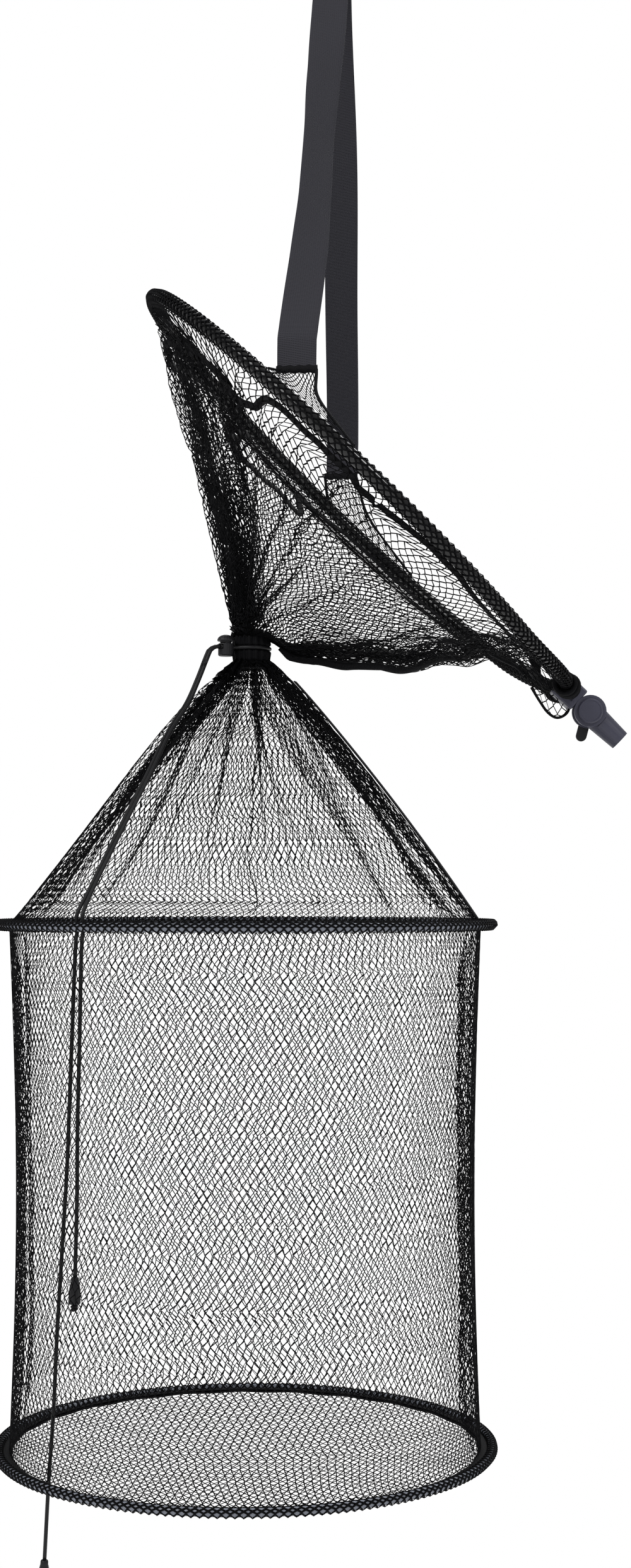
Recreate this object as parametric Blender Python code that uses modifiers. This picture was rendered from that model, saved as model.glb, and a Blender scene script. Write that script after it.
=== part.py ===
"""A keep net: a tilting top hoop on a webbing strap, a cinched neck, and two hoops with a net floor.

Metres, +Z up. The origin is the inner bend of the strap, where the net hangs.
"""

import math

import bmesh
import bpy
from mathutils import Euler, Matrix, Vector

COLLECTION = "keep_net"
CUTTERS = "keep_net_cutters"
MERGE = 0.00001
GAP = 0.0003  # between touching pieces
OVERRUN = 0.002  # how far a cutter runs past what it cuts
NET_WALL = 0.0009  # netting, over its knots
SIDES = 8  # round a tube or a cord

# Strap
STRAP_WIDTH = 0.028
STRAP_WALL = 0.0016
STRAP_DROP = 0.361  # from the top of the loop down to the sewn hinge
STRAP_SPAN = 0.4016  # between the two sewn ends
STRAP_OFFSET_X = -0.0096  # the hinge line's middle, from the loop's top
STRAP_SKEW = -5.1  # degrees, the hinge line about Z
STRAP_LAP = 0.008  # sewn length below the hinge line
STRAP_STRAIGHT = 0.018  # plumb length above the hinge line
STRAP_BEND_RADIUS = 0.007  # inside the top of the loop
STRAP_ROWS = 14
STRAP_TWISTS = (0, 6, 22, 38, 42, 30, 12, 0)  # degrees, near strand, from the sewn end up
STRAP_BEND_STEPS = 8

# Top hoop, in its own frame: X towards the angle lock, Y to the far side
TOP_RADIUS = 0.225
TOP_CENTRE_X = 0.0227
TOP_CENTRE_Z = -0.4217
TOP_TILT = 43.3
TOP_ROLL = 2.7
TOP_TUBE_RADIUS = 0.005
SLEEVE_WALL = 0.0007
TOP_STEPS = 40
TOP_TUBE_END_STRAIGHT = 0.012
SLEEVE_SLIT = 247.5  # degrees round the tube, where the sleeve is open
SLEEVE_START = 5.0  # degrees round the hoop from the angle lock

# Gussets between the strap's ends and the top hoop
GUSSET_WALL = 0.0009
GUSSET_ROWS = 6
GUSSET_COLUMNS = 5
GUSSET_TAB_HEIGHT = 0.014
NEAR_GUSSET_ANGLES = (-113.0, -91.0)  # round the top hoop, left edge and right edge
FAR_GUSSET_ANGLES = (102.0, 75.0)
GUSSET_HOLLOW_SHARE = 0.28  # how far the free edge curves in

# Angle lock
YOKE_LENGTH = 0.0215
YOKE_WIDTH = 0.025
YOKE_HEIGHT = 0.020
YOKE_BACK = 0.0078  # behind the tube's centre line
YOKE_EDGE = 0.0015
EAR_RADIUS = 0.0128
EAR_WALL = 0.0042
PIVOT_OUT = 0.0257  # from the tube's centre line to the pivot
POCKET_LENGTH = 0.0042
POCKET_DEPTH = 0.0030
POCKET_HEIGHT = 0.0095
BOLT_RADIUS = 0.003
BOLT_HEAD_RADIUS = 0.0055
BOLT_HEAD_HEIGHT = 0.0022
CAP_RADIUS = 0.0100
CAP_HEIGHT = 0.0026
CAP_EDGE = 0.0008
CAP_RIM_WIDTH = 0.0012
CAP_DISH = 0.0004
BLOCK_REACH = 0.034  # from the pivot to the socket's end
BLOCK_ROOT_RADIUS = 0.0104
BLOCK_END_RADIUS = 0.0083
SOCKET_RADIUS = 0.0064
SOCKET_DEPTH = 0.0170
SOCKET_STEPS = 24
INSERT_WALL = 0.0014
INSERT_DEPTH = 0.0160
LEVER_HUB_RADIUS = 0.0078
LEVER_HUB_HEIGHT = 0.0080
LEVER_REACH = 0.024
LEVER_WIDTH = 0.0085
LEVER_WALL = 0.0045
LEVER_REST = 61.0  # degrees below the top hoop's plane

# Funnel netting from the top hoop to the neck
FUNNEL_BARS = 12  # round the funnel, between its rows of openings
FUNNEL_BAR_ANGLE = 3.0
FUNNEL_SHARES = (0, 0.07, 0.15, 0.34, 0.38, 0.57, 0.61, 0.79, 0.92, 1)
FUNNEL_OPEN_ROWS = (2, 4, 6)
FUNNEL_FOLDS = 10
FUNNEL_FOLD_DEPTH = 0.005
FUNNEL_FOLD_OUT_SHARE = 0.7  # of each fold, away from the axis
FUNNEL_FOLD_UP_SHARE = 0.3
YOKE_SHY = 0.0105  # how far the netting keeps back from the yoke
YOKE_SHY_ANGLE = 9.0
LOBE_SAG = 0.018  # the slack lobe between the neck and the angle lock
LOBE_SHARES = ((0, 0), (0.10, 0.75), (0.2, 0.8), (0.34, 0.0), (0.55, -0.9), (0.72, -0.75), (0.87, -0.3), (1, 0))
THROAT_RISE = 0.012  # how far the gathered throat stands straight up
THROAT_OUT = 0.004  # and how far it opens by then
HEM_WIDTH = 0.004
HEM_WALL = 0.001
HEM_NEAR_SHARE = 0.045  # on the angle lock's half, as a share of the way to the neck
HEM_SLACK_SHARE = 0.06  # more on the slack half
HEM_WAVES = 9
HEM_WAVE_SHARE = 0.012
HEM_OFF = 0.0018  # its middle off the netting's middle
SEAM_WIDTH = 0.005
SEAM_WALL = 0.0011

# Neck
NECK_X = -0.0655
NECK_Z = -0.5435
NECK_RADIUS = 0.016
NECK_WAIST = 0.0128
NECK_MOUTH_ANGLE = 44.0  # degrees from the axis to the net's rim on the gathered ball
NECK_SWELL_ANGLE = 68.0  # and to where the ball turns in to the cord
NECK_STEPS = 20
CORD_DIAMETER = 0.003
LOCK_ANGLE = 37.0  # degrees from -X towards the near side
LOCK_DISTANCE = 0.025
TAIL_PITCH = 0.0036  # between the two tails
TAIL_TURN_SHARE = 0.55  # where the loop's ends turn out, as a share of the loop's radius
LOOP_STEPS = 15
BEND_STEPS = 3

# Lower net
NET_X = -0.070
MIDDLE_Z = -0.764
BOTTOM_Z = -1.1804
HOOP_RADIUS = 0.1968
HOOP_TUBE_RADIUS = 0.00325
HOOP_STEPS = 36
SHOULDER_RADIUS = 0.1885
BODY_RADIUS = 0.1878
BODY_WAIST_SHARE = 0.026  # how much the netting draws in between the hoops
TAPE_WIDTH = 0.0056
TAPE_WALL = 0.0012
SHOULDER_BARS = 12  # round the shoulder, between its rows of openings
SHOULDER_BAR_ANGLE = 3.0
SHOULDER_SHARES = (0, 0.035, 0.09, 0.2, 0.52, 0.56, 0.93, 1)
SHOULDER_OPEN_ROWS = (3, 5)
SHOULDER_FOLDS = 10
SHOULDER_FOLD_DEPTH = 0.0035
SHOULDER_FLARE = 0.85
BODY_BARS = 12  # round the body, between its rows of openings
BODY_BAR_ANGLE = 2.0
BODY_OPEN_ROWS = 4
BODY_RAIL_SHARE = 0.012  # a bar across the body, as a share of its height
BODY_FOLD_DEPTH = 0.0006
BODY_FOLDS = 9
SHOULDER_SEAM_ANGLE = -13.5  # degrees from +X, negative to the near side
SHOULDER_SEAM_END_SHARE = 0.97  # where its tape ends, above the middle hoop
BODY_SEAM_ANGLE = -9.0
BODY_SEAM_START = 0.01
SLOT_WIDTH = 0.016
SLOT_HEIGHT = 0.0085
SLOT_REACH = 0.032  # how far the slot's cutter reaches through the netting
SLOT_ANGLE = 39.4  # degrees from the near side towards -X

# Floor netting
FLOOR_WALL = 0.0012
FLOOR_STRAND = 0.0022
FLOOR_SPOKES = 18
FLOOR_PHASE = 36.4  # degrees from the near side towards -X, of the first rib
FLOOR_RIM_OUT = 0.1912
FLOOR_RIM_IN = 0.1850
FLOOR_BAND_OUT = 0.1672
FLOOR_BAND_IN = 0.1642
FLOOR_ROWS = 3
FLOOR_ROW_SHARE = 0.66  # each row of knots over the one outside it
FLOOR_LEAST_SCALE = 0.45  # the smallest knots over the widest ones

# Cord lock
BARREL_RADIUS = 0.0062
BARREL_WALL = 0.0012
BARREL_FLOOR = 0.0008
BARREL_TOP = 0.0027  # above the cords' centres
BARREL_DEPTH = 0.0072  # below the cords' centres
BUTTON_RADIUS = 0.0069
BUTTON_HEIGHT = 0.0052
BUTTON_TRAVEL = 0.0016
BUTTON_BAR = 0.0009
SPRING_WIRE = 0.00028
SPRING_RADIUS = 0.0034
SPRING_TURNS = 1.6
SPRING_POINTS = 10
BORE_SPARE = 0.0004

# Free cords: in the open, then down the shoulder as (angle, share), then in as (angle, radius, height)
CORD_FREE = (
    (-0.0975, -0.0240, -0.5465),
    (-0.1005, -0.0262, -0.5535),
    (-0.1068, -0.0300, -0.5705),
    (-0.1150, -0.0380, -0.5905),
)
CORD_DOWN = (
    (-137.5, 0.303),
    (-132.9, 0.448),
    (-131.5, 0.597),
    (-130.9, 0.689),
    (-130.4, 0.780),
    (-129.8, 0.889),
)
CORD_A_IN = (
    (-128.6, 0.1850, -0.7540),
    (-128.5, 0.1850, -0.7600),
    (-128.5, 0.1850, -0.7650),
)
CORD_B_IN = (
    (-130.4, 0.1850, -0.7540),
    (-130.4, 0.1850, -0.7600),
    (-130.4, 0.1850, -0.7650),
)
CORD_OFF = 0.0031  # the cords' centres off the middle of the shoulder netting
CORD_A_ROUTE = (
    (-0.1873, -0.1370, -0.7839),
    (-0.1889, -0.1350, -0.8507),
    (-0.1906, -0.1320, -0.9108),
    (-0.1914, -0.1290, -0.9660),
    (-0.1932, -0.1255, -1.0250),
)
CORD_B_ROUTE = (
    (-0.1921, -0.1330, -0.7800),
    (-0.1946, -0.1300, -0.8361),
    (-0.1972, -0.1270, -0.8963),
    (-0.1994, -0.1240, -0.9450),
    (-0.2046, -0.1180, -1.0204),
    (-0.2082, -0.1140, -1.0741),
    (-0.2110, -0.1105, -1.1278),
    (-0.2152, -0.1062, -1.1825),
    (-0.2186, -0.1042, -1.2420),
)
CORD_SPACING = 0.0125
CORD_OUT = 0.0025  # how far each cord runs straight out of the lock
BELL_RADIUS = 0.0047
BELL_LENGTH = 0.020
BELL_NECK_SHARE = 0.62
BELL_BORE = 0.0019
KNOT_RADIUS = 0.0031
KNOT_LENGTH = 0.0055

# Colours, roughness and metallic value
BLACK_NET = ((0.012, 0.012, 0.014), 0.75, 0.0)
BLACK_TAPE = ((0.015, 0.015, 0.018), 0.8, 0.0)
WEBBING = ((0.030, 0.030, 0.036), 0.7, 0.0)
GLOSS_CORD = ((0.012, 0.012, 0.013), 0.35, 0.0)
TOP_TUBE = ((0.03, 0.03, 0.033), 0.35, 0.0)
PALE_TUBE = ((0.50, 0.53, 0.58), 0.35, 0.0)
MOULDED = ((0.075, 0.075, 0.092), 0.45, 0.0)
DARK_MOULDED = ((0.030, 0.030, 0.036), 0.4, 0.0)
BRASS = ((0.70, 0.52, 0.25), 0.3, 1.0)
STEEL = ((0.55, 0.56, 0.58), 0.3, 1.0)

# Worked out from the sizes above
SLEEVE_SPARE = GAP + SLEEVE_WALL / 2
CORNER = math.cos(math.pi / SIDES)
TOP_SLEEVE_RADIUS = (TOP_TUBE_RADIUS + SLEEVE_SPARE) / CORNER
HOOP_SLEEVE_RADIUS = (HOOP_TUBE_RADIUS + SLEEVE_SPARE) / CORNER
TOP_SLEEVE_OUT = TOP_SLEEVE_RADIUS + SLEEVE_WALL / 2
PIVOT_X = TOP_RADIUS + PIVOT_OUT
SLOT_HALF = YOKE_WIDTH / 2 - EAR_WALL
BLOCK_HALF = SLOT_HALF - GAP
TAIL_END = LOCK_DISTANCE + BARREL_RADIUS
LOOP_RADIUS = NECK_WAIST + GAP + CORD_DIAMETER / 2
NECK = Vector((NECK_X, 0, NECK_Z))
SOCKET_BALL = NECK_RADIUS + GAP + NET_WALL / 2


def clear_scene():
    """Remove the objects that a new file starts with."""
    for ob in list(bpy.data.objects):
        bpy.data.objects.remove(ob, do_unlink=True)


def collection(name):
    """A collection of that name in the scene."""
    made = bpy.data.collections.new(name)
    bpy.context.scene.collection.children.link(made)
    return made


def material(name, look):
    """A Principled material from a colour, a roughness and a metallic value."""
    colour, rough, metal = look
    made = bpy.data.materials.new(name)
    made.use_nodes = True
    shader = made.node_tree.nodes["Principled BSDF"]
    shader.inputs["Base Color"].default_value = (*colour, 1)
    shader.inputs["Roughness"].default_value = rough
    shader.inputs["Metallic"].default_value = metal
    made.diffuse_color = (*colour, 1)
    return made


clear_scene()
PARTS = collection(COLLECTION)
CUTS = collection(CUTTERS)


class Frame:
    """An empty that pieces hang from, with its place in the world."""

    def __init__(self, name, world, parent=None):
        self.world = world
        self.empty = bpy.data.objects.new(name, None)
        self.empty.empty_display_size = STRAP_WIDTH
        PARTS.objects.link(self.empty)
        if parent:
            self.empty.parent = parent.empty
            self.empty.matrix_basis = parent.world.inverted() @ world
        else:
            self.empty.matrix_basis = world

    def local(self, points):
        """World points in this frame."""
        inverse = self.world.inverted()
        return [inverse @ Vector(p) for p in points]


def turned(angle_x=0.0, angle_y=0.0, angle_z=0.0, at=(0, 0, 0)):
    """A matrix from angles in degrees and a place."""
    angles = [math.radians(a) for a in (angle_x, angle_y, angle_z)]
    return Matrix.Translation(at) @ Euler(angles).to_matrix().to_4x4()


STRAP_FRAME = Frame("strap_hinge_line", turned(angle_z=STRAP_SKEW, at=(STRAP_OFFSET_X, 0, -STRAP_DROP)))
HOOP_FRAME = Frame(
    "top_hoop_frame",
    turned(TOP_ROLL, TOP_TILT, at=(TOP_CENTRE_X, 0, TOP_CENTRE_Z)),
    STRAP_FRAME,
)
PIVOT_FRAME = Frame("angle_lock_pivot", HOOP_FRAME.world @ Matrix.Translation((PIVOT_X, 0, 0)), HOOP_FRAME)
NECK_FRAME = Frame("neck_pivot", Matrix.Translation(NECK), HOOP_FRAME)
LOCK_OUT = Vector((-math.cos(math.radians(LOCK_ANGLE)), -math.sin(math.radians(LOCK_ANGLE)), 0))
LOCK_FRAME = Frame(
    "cord_lock_frame",
    turned(angle_z=180 + LOCK_ANGLE, at=NECK + LOCK_OUT * LOCK_DISTANCE),
    NECK_FRAME,
)
MIDDLE_FRAME = Frame("middle_hoop_frame", Matrix.Translation((NET_X, 0, MIDDLE_Z)), NECK_FRAME)
BOTTOM_FRAME = Frame("bottom_hoop_frame", Matrix.Translation((NET_X, 0, BOTTOM_Z)), MIDDLE_FRAME)


def bar_angles(bars, bar_angle, between, first=0.0):
    """The columns of a net with bars: each bar's two edges, and places between it and the next bar."""
    step = 360 / bars
    angles = []
    for bar in range(bars):
        edge = first + bar * step - bar_angle / 2
        angles.append(edge)
        angles += [edge + bar_angle + (step - bar_angle) * i / (between + 1) for i in range(between + 1)]
    return angles


FUNNEL_ANGLES = bar_angles(FUNNEL_BARS, FUNNEL_BAR_ANGLE, 2)
SHOULDER_ANGLES = bar_angles(SHOULDER_BARS, SHOULDER_BAR_ANGLE, 1, SHOULDER_SEAM_ANGLE)
BODY_ANGLES = bar_angles(BODY_BARS, BODY_BAR_ANGLE, 1, BODY_SEAM_ANGLE)


def hang(ob, frame, look, cutter=False):
    """Put an object in its frame and collection, with its material."""
    ob.parent = frame.empty
    ob.matrix_parent_inverse = Matrix.Identity(4)
    for linked in list(ob.users_collection):
        linked.objects.unlink(ob)
    if cutter:
        CUTS.objects.link(ob)
        ob.hide_render = True
        ob.display_type = "WIRE"
    else:
        PARTS.objects.link(ob)
        ob.data.materials.append(material(ob.name, look))
    return ob


def from_faces(name, points, faces, frame, look=None, cutter=False):
    """A mesh object from points and faces, for lofts and profiles."""
    mesh = bpy.data.meshes.new(name)
    mesh.from_pydata([tuple(p) for p in points], [], faces)
    ob = bpy.data.objects.new(name, mesh)
    hang(ob, frame, look, cutter)
    return ob


def smooth(ob, angle=35.0):
    """Shade round faces smooth and keep edges sharp."""
    ob.data.shade_smooth()
    ob.data.set_sharp_from_angle(angle=math.radians(angle))
    return ob


def solidify(ob, wall):
    """Give an open surface a wall, half to each side."""
    made = ob.modifiers.new("wall", "SOLIDIFY")
    made.thickness = wall
    made.offset = 0
    made.use_even_offset = True
    return ob


def bevel(ob, width, segments=1, angle=50.0):
    """Round an object's sharp edges."""
    made = ob.modifiers.new("edges", "BEVEL")
    made.width = width
    made.segments = segments
    made.limit_method = "ANGLE"
    made.angle_limit = math.radians(angle)
    return ob


def boolean(ob, cutter, operation="DIFFERENCE"):
    """Cut an object with a cutter, or join them."""
    made = ob.modifiers.new("cut", "BOOLEAN")
    made.operation = operation
    made.object = cutter
    made.solver = "EXACT"
    return ob


def revolved(name, profile, steps, frame, look=None, angle=360.0, start=0.0, closed=False, cutter=False):
    """Turn a profile of (radius, height) about the frame's Z axis."""
    turn = math.radians(start)
    mesh = bpy.data.meshes.new(name)
    points = [(r * math.cos(turn), r * math.sin(turn), z) for r, z in profile]
    edges = [(i, i + 1) for i in range(len(points) - 1)]
    if closed:
        edges.append((len(points) - 1, 0))
    mesh.from_pydata(points, edges, [])
    ob = bpy.data.objects.new(name, mesh)
    made = ob.modifiers.new("turn", "SCREW")
    made.axis = "Z"
    made.angle = math.radians(angle)
    made.steps = steps
    made.render_steps = steps
    made.use_merge_vertices = angle == 360.0
    made.merge_threshold = MERGE
    hang(ob, frame, look, cutter)
    return ob


def cord(name, points, radius, frame, look, cyclic=False):
    """A round tube along points in the frame."""
    curve = bpy.data.curves.new(name, "CURVE")
    curve.dimensions = "3D"
    curve.bevel_depth = radius
    curve.bevel_resolution = (SIDES - 4) // 2
    curve.use_fill_caps = not cyclic
    spline = curve.splines.new("POLY")
    spline.points.add(len(points) - 1)
    for point, place in zip(spline.points, points):
        point.co = (*place, 1)
    spline.use_cyclic_u = cyclic
    ob = bpy.data.objects.new(name, curve)
    return hang(ob, frame, look)


def smooth_route(points, spacing):
    """Points at an even spacing on a smooth curve through a route's own points."""
    route = [Vector(p) for p in points]
    ends = [2 * route[0] - route[1]] + route + [2 * route[-1] - route[-2]]
    fine = []
    parts = 12
    for a, b, c, d in zip(ends, ends[1:], ends[2:], ends[3:]):
        for i in range(parts):
            t = i / parts
            fine.append(
                (
                    2 * b
                    + (c - a) * t
                    + (2 * a - 5 * b + 4 * c - d) * t**2
                    + (3 * b - a - 3 * c + d) * t**3
                )
                / 2
            )
    fine.append(route[-1])
    reach = [0.0]
    for a, b in zip(fine, fine[1:]):
        reach.append(reach[-1] + (b - a).length)
    count = max(2, round(reach[-1] / spacing))
    made, i = [], 0
    for k in range(count + 1):
        want = reach[-1] * k / count
        while i < len(reach) - 2 and reach[i + 1] < want:
            i += 1
        part = (want - reach[i]) / (reach[i + 1] - reach[i])
        made.append(fine[i].lerp(fine[i + 1], part))
    return made


def table(shares, at):
    """Read a smooth value from a table of (place, share)."""
    for (a, low), (b, high) in zip(shares, shares[1:]):
        if at <= b:
            t = (at - a) / (b - a)
            return low + (high - low) * t * t * (3 - 2 * t)
    return shares[-1][1]


def sheet(name, rows, frame, look, wall, around=False, open_rows=(), bar_every=1):
    """A sheet of netting or webbing lofted through rows of points, with a wall.

    Its open rows keep only the first of each so many columns, as bars.
    """
    wide = len(rows[0])
    faces = []
    for r in range(len(rows) - 1):
        for c in range(wide if around else wide - 1):
            here, after = r * wide + c, r * wide + (c + 1) % wide
            if r not in open_rows or c % bar_every == 0:
                faces.append((here, after, after + wide, here + wide))
    points = frame.local([p for row in rows for p in row])
    ob = from_faces(name, points, faces, frame, look)
    solidify(ob, wall)
    return smooth(ob, 60)


def block(name, size, at, frame, look=None, cutter=False, edge=0.0):
    """A box of a size, centred in the frame at a place."""
    bm = bmesh.new()
    bmesh.ops.create_cube(bm, size=1)
    bmesh.ops.scale(bm, vec=size, verts=bm.verts)
    bmesh.ops.translate(bm, vec=at, verts=bm.verts)
    mesh = bpy.data.meshes.new(name)
    bm.to_mesh(mesh)
    bm.free()
    ob = bpy.data.objects.new(name, mesh)
    hang(ob, frame, look, cutter)
    if edge:
        bevel(ob, edge, 2)
    return ob


def drum(name, low_radius, high_radius, length, matrix, frame, look=None, cutter=False, steps=24):
    """A cylinder or cone along the matrix's Z axis, from its origin."""
    bm = bmesh.new()
    bmesh.ops.create_cone(
        bm,
        cap_ends=True,
        segments=steps,
        radius1=low_radius,
        radius2=high_radius,
        depth=length,
        matrix=matrix @ Matrix.Translation((0, 0, length / 2)),
    )
    mesh = bpy.data.meshes.new(name)
    bm.to_mesh(mesh)
    bm.free()
    ob = bpy.data.objects.new(name, mesh)
    return hang(ob, frame, look, cutter)


# Strap


def strap_webbing():
    """One length of webbing from the near seam over the loop's top to the far seam."""
    half = STRAP_SPAN / 2
    top = STRAP_FRAME.local([(0, 0, 0)])[0]
    rows = []

    def row(at, along, twist):
        across = Vector((1, 0, 0)) - along * along.x
        across.normalize()
        across = Matrix.Rotation(math.radians(twist), 3, along) @ across
        rows.append([STRAP_FRAME.world @ (at + across * STRAP_WIDTH * s) for s in (-0.5, 0, 0.5)])

    middle = STRAP_BEND_RADIUS + STRAP_WALL / 2
    centre = top - Vector((0, 0, STRAP_BEND_RADIUS))
    for side in (-1, 1):
        foot = Vector((0, side * half, -STRAP_LAP))
        plumb = Vector((0, side * half, STRAP_STRAIGHT))
        lean = math.atan2(half - middle, centre.z - plumb.z)
        edge = centre + Vector((0, side * math.cos(lean), math.sin(lean))) * middle
        strand = [foot, Vector((0, side * half, 0)), plumb]
        strand += [plumb.lerp(edge, i / STRAP_ROWS) for i in range(1, STRAP_ROWS)]
        places = []
        for i, at in enumerate(strand):
            share = i / len(strand)
            twist = table([(k / (len(STRAP_TWISTS) - 1), v) for k, v in enumerate(STRAP_TWISTS)], share)
            ahead = strand[i + 1] if i + 1 < len(strand) else edge
            along = (ahead - at).normalized() if i > 1 else Vector((0, 0, 1))
            places.append((at, along, twist if side < 0 and i > 2 else 0))
        if side < 0:
            for at, along, twist in places:
                row(at, along, twist)
            for i in range(STRAP_BEND_STEPS + 1):
                turn = math.pi - lean - (math.pi - 2 * lean) * i / STRAP_BEND_STEPS
                way = Vector((0, math.cos(turn), math.sin(turn)))
                row(centre + way * middle, Vector((0, math.sin(turn), -math.cos(turn))), 0)
        else:
            for at, along, twist in reversed(places):
                row(at, -along, twist)
    return sheet("strap_webbing", rows, STRAP_FRAME, WEBBING, STRAP_WALL)


# Top hoop


def hoop_place(angle, out=0.0, up=0.0):
    """A world point round the top hoop, at an angle in degrees from the angle lock."""
    turn = math.radians(angle)
    radius = TOP_RADIUS + out
    return HOOP_FRAME.world @ Vector((radius * math.cos(turn), radius * math.sin(turn), up))


def hoop_tube():
    """The C-shaped tube, its ends straight where they enter the yoke."""
    step = (360 - 2 * SLEEVE_START) / TOP_STEPS
    points = []
    for i in range(TOP_STEPS + 1):
        turn = math.radians(SLEEVE_START + step * i)
        points.append(Vector((math.cos(turn), math.sin(turn), 0)) * TOP_RADIUS)
    end = YOKE_WIDTH / 2 - TOP_TUBE_END_STRAIGHT + GAP
    bend = YOKE_WIDTH / 2 + GAP
    points = (
        [Vector((TOP_RADIUS, end, 0)), Vector((TOP_RADIUS, bend, 0))]
        + points
        + [Vector((TOP_RADIUS, -bend, 0)), Vector((TOP_RADIUS, -end, 0))]
    )
    return cord("hoop_tube", points, TOP_TUBE_RADIUS, HOOP_FRAME, TOP_TUBE)


def sleeve_profile(hoop_radius, radius, slit_turn):
    """Corners of a sleeve that is open for a quarter turn round slit_turn degrees."""
    points = []
    for i in range(SIDES - 1):
        turn = math.radians(slit_turn + 45 + i * 360 / SIDES)
        points.append((hoop_radius + radius * math.cos(turn), radius * math.sin(turn)))
    return points


def hoop_sleeve():
    """The netting folded round the top tube, open where it runs on into the funnel."""
    profile = sleeve_profile(TOP_RADIUS, TOP_SLEEVE_RADIUS, SLEEVE_SLIT)
    ob = revolved(
        "hoop_sleeve",
        profile,
        TOP_STEPS,
        HOOP_FRAME,
        BLACK_NET,
        angle=360 - 2 * SLEEVE_START,
        start=SLEEVE_START,
    )
    solidify(ob, SLEEVE_WALL)
    return smooth(ob, 60)


def gusset(name, side, angles):
    """A netting triangle from one end of the strap out to the top hoop's sleeve."""
    plane = side * (STRAP_SPAN / 2 + STRAP_WALL / 2 + GAP + GUSSET_WALL / 2)
    left, right = angles
    rows = []
    for r in range(GUSSET_ROWS + 1):
        row = []
        for c in range(GUSSET_COLUMNS + 1):
            across = c / GUSSET_COLUMNS
            tab_x = STRAP_WIDTH * (across - 0.5)
            tab = STRAP_FRAME.world @ Vector((tab_x, plane, -STRAP_LAP))
            base = hoop_place(left + (right - left) * across, 0, TOP_SLEEVE_OUT + 2 * GAP + GUSSET_WALL)
            if r == 0:
                row.append(STRAP_FRAME.world @ Vector((tab_x, plane, GUSSET_TAB_HEIGHT - STRAP_LAP)))
                continue
            down = (r - 1) / (GUSSET_ROWS - 1)
            at = tab.lerp(base, down)
            pull = GUSSET_HOLLOW_SHARE * across * math.sin(math.pi * down)
            inner = tab.lerp(hoop_place(left, 0, TOP_SLEEVE_OUT), down)
            row.append(at.lerp(inner, pull))
        rows.append(row)
    return sheet(name, rows, STRAP_FRAME, BLACK_NET, GUSSET_WALL)


def funnel_place(angle, share):
    """A world point of the funnel netting: share 0 at the top hoop and 1 at the neck."""
    turn = math.radians(angle)
    away = min(angle % 360, -angle % 360) / YOKE_SHY_ANGLE
    shy = YOKE_SHY * max(0, 1 - away)
    slit = math.radians(SLEEVE_SLIT)
    root = TOP_TUBE_RADIUS + 2 * GAP
    start = hoop_place(angle, root * math.cos(slit) - shy, root * math.sin(slit) - shy)
    mouth = math.radians(NECK_MOUTH_ANGLE)
    around = Vector((math.cos(turn), math.sin(turn), 0))
    end = NECK + around * SOCKET_BALL * math.sin(mouth) + Vector((0, 0, SOCKET_BALL * math.cos(mouth)))
    throat = end + Vector((0, 0, THROAT_RISE)) + around * THROAT_OUT
    half = start.lerp(throat, 0.5)
    at = start * (1 - share) ** 2 + half * 2 * share * (1 - share) + throat * share**2 if share < 1 else end
    blend = share**6
    at = start.lerp(end, share) * blend + at * (1 - blend)
    right = max(0.0, math.cos(turn)) ** 2
    at = at + Vector((0, 0, LOBE_SAG * right * table(LOBE_SHARES, share)))
    fold = FUNNEL_FOLD_DEPTH * math.sin(math.pi * share) ** 2 * math.sin(FUNNEL_FOLDS * turn)
    return at + (around * FUNNEL_FOLD_OUT_SHARE + Vector((0, 0, FUNNEL_FOLD_UP_SHARE))) * fold


def funnel_net():
    """The netting that hangs from the top hoop and gathers at the neck."""
    rows = []
    for share in FUNNEL_SHARES:
        rows.append([funnel_place(angle, share) for angle in FUNNEL_ANGLES])
    every = len(FUNNEL_ANGLES) // FUNNEL_BARS
    return sheet("funnel_net", rows, HOOP_FRAME, BLACK_NET, NET_WALL, True, FUNNEL_OPEN_ROWS, every)


def on_faces(place, angles, shares, angle, share):
    """A world point on a sheet's flat faces, between its own rows and columns."""
    turns = angles + [angles[0] + 360]
    angle = angles[0] + (angle - angles[0]) % 360
    column = max(i for i, a in enumerate(angles) if a <= angle)
    left, right = turns[column : column + 2]
    row = max(i for i, s in enumerate(shares[:-1]) if s <= max(0, share))
    low, high = shares[row : row + 2]
    across, down = (angle - left) / (right - left), (share - low) / (high - low)
    near = place(left, low).lerp(place(left, high), down)
    return near.lerp(place(right, low).lerp(place(right, high), down), across)


def on_funnel(angle, share):
    """A world point on the funnel's flat faces."""
    return on_faces(funnel_place, FUNNEL_ANGLES, FUNNEL_SHARES, angle, share)


def beside_funnel(angle, share, off, across=0.0):
    """A place off the funnel's surface, positive to the outside, and across along the hoop."""
    step = 180 / len(FUNNEL_ANGLES)
    small = FUNNEL_SHARES[1] / 2
    side = (on_funnel(angle + step, share) - on_funnel(angle - step, share)).normalized()
    down = on_funnel(angle, share + small) - on_funnel(angle, max(0, share - small))
    out = down.normalized().cross(side)
    return on_funnel(angle, share) + out * off + side * across


def hem_tape():
    """The sewn edge tape inside the funnel, slack and wavy on the high half."""
    rows = []
    for angle in FUNNEL_ANGLES:
        turn = math.radians(angle)
        slack = (1 - math.cos(turn)) / 2
        middle = HEM_NEAR_SHARE + slack * (HEM_SLACK_SHARE + HEM_WAVE_SHARE * math.sin(HEM_WAVES * turn))
        along = (on_funnel(angle, middle + HEM_WAVE_SHARE) - on_funnel(angle, middle)).length
        half = HEM_WIDTH / 2 / along * HEM_WAVE_SHARE
        rows.append([beside_funnel(angle, middle + s, -HEM_OFF) for s in (-half, half)])
    rows = [list(row) for row in zip(*rows)]
    return sheet("hem_tape", rows, HOOP_FRAME, BLACK_TAPE, HEM_WALL, around=True)


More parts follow.
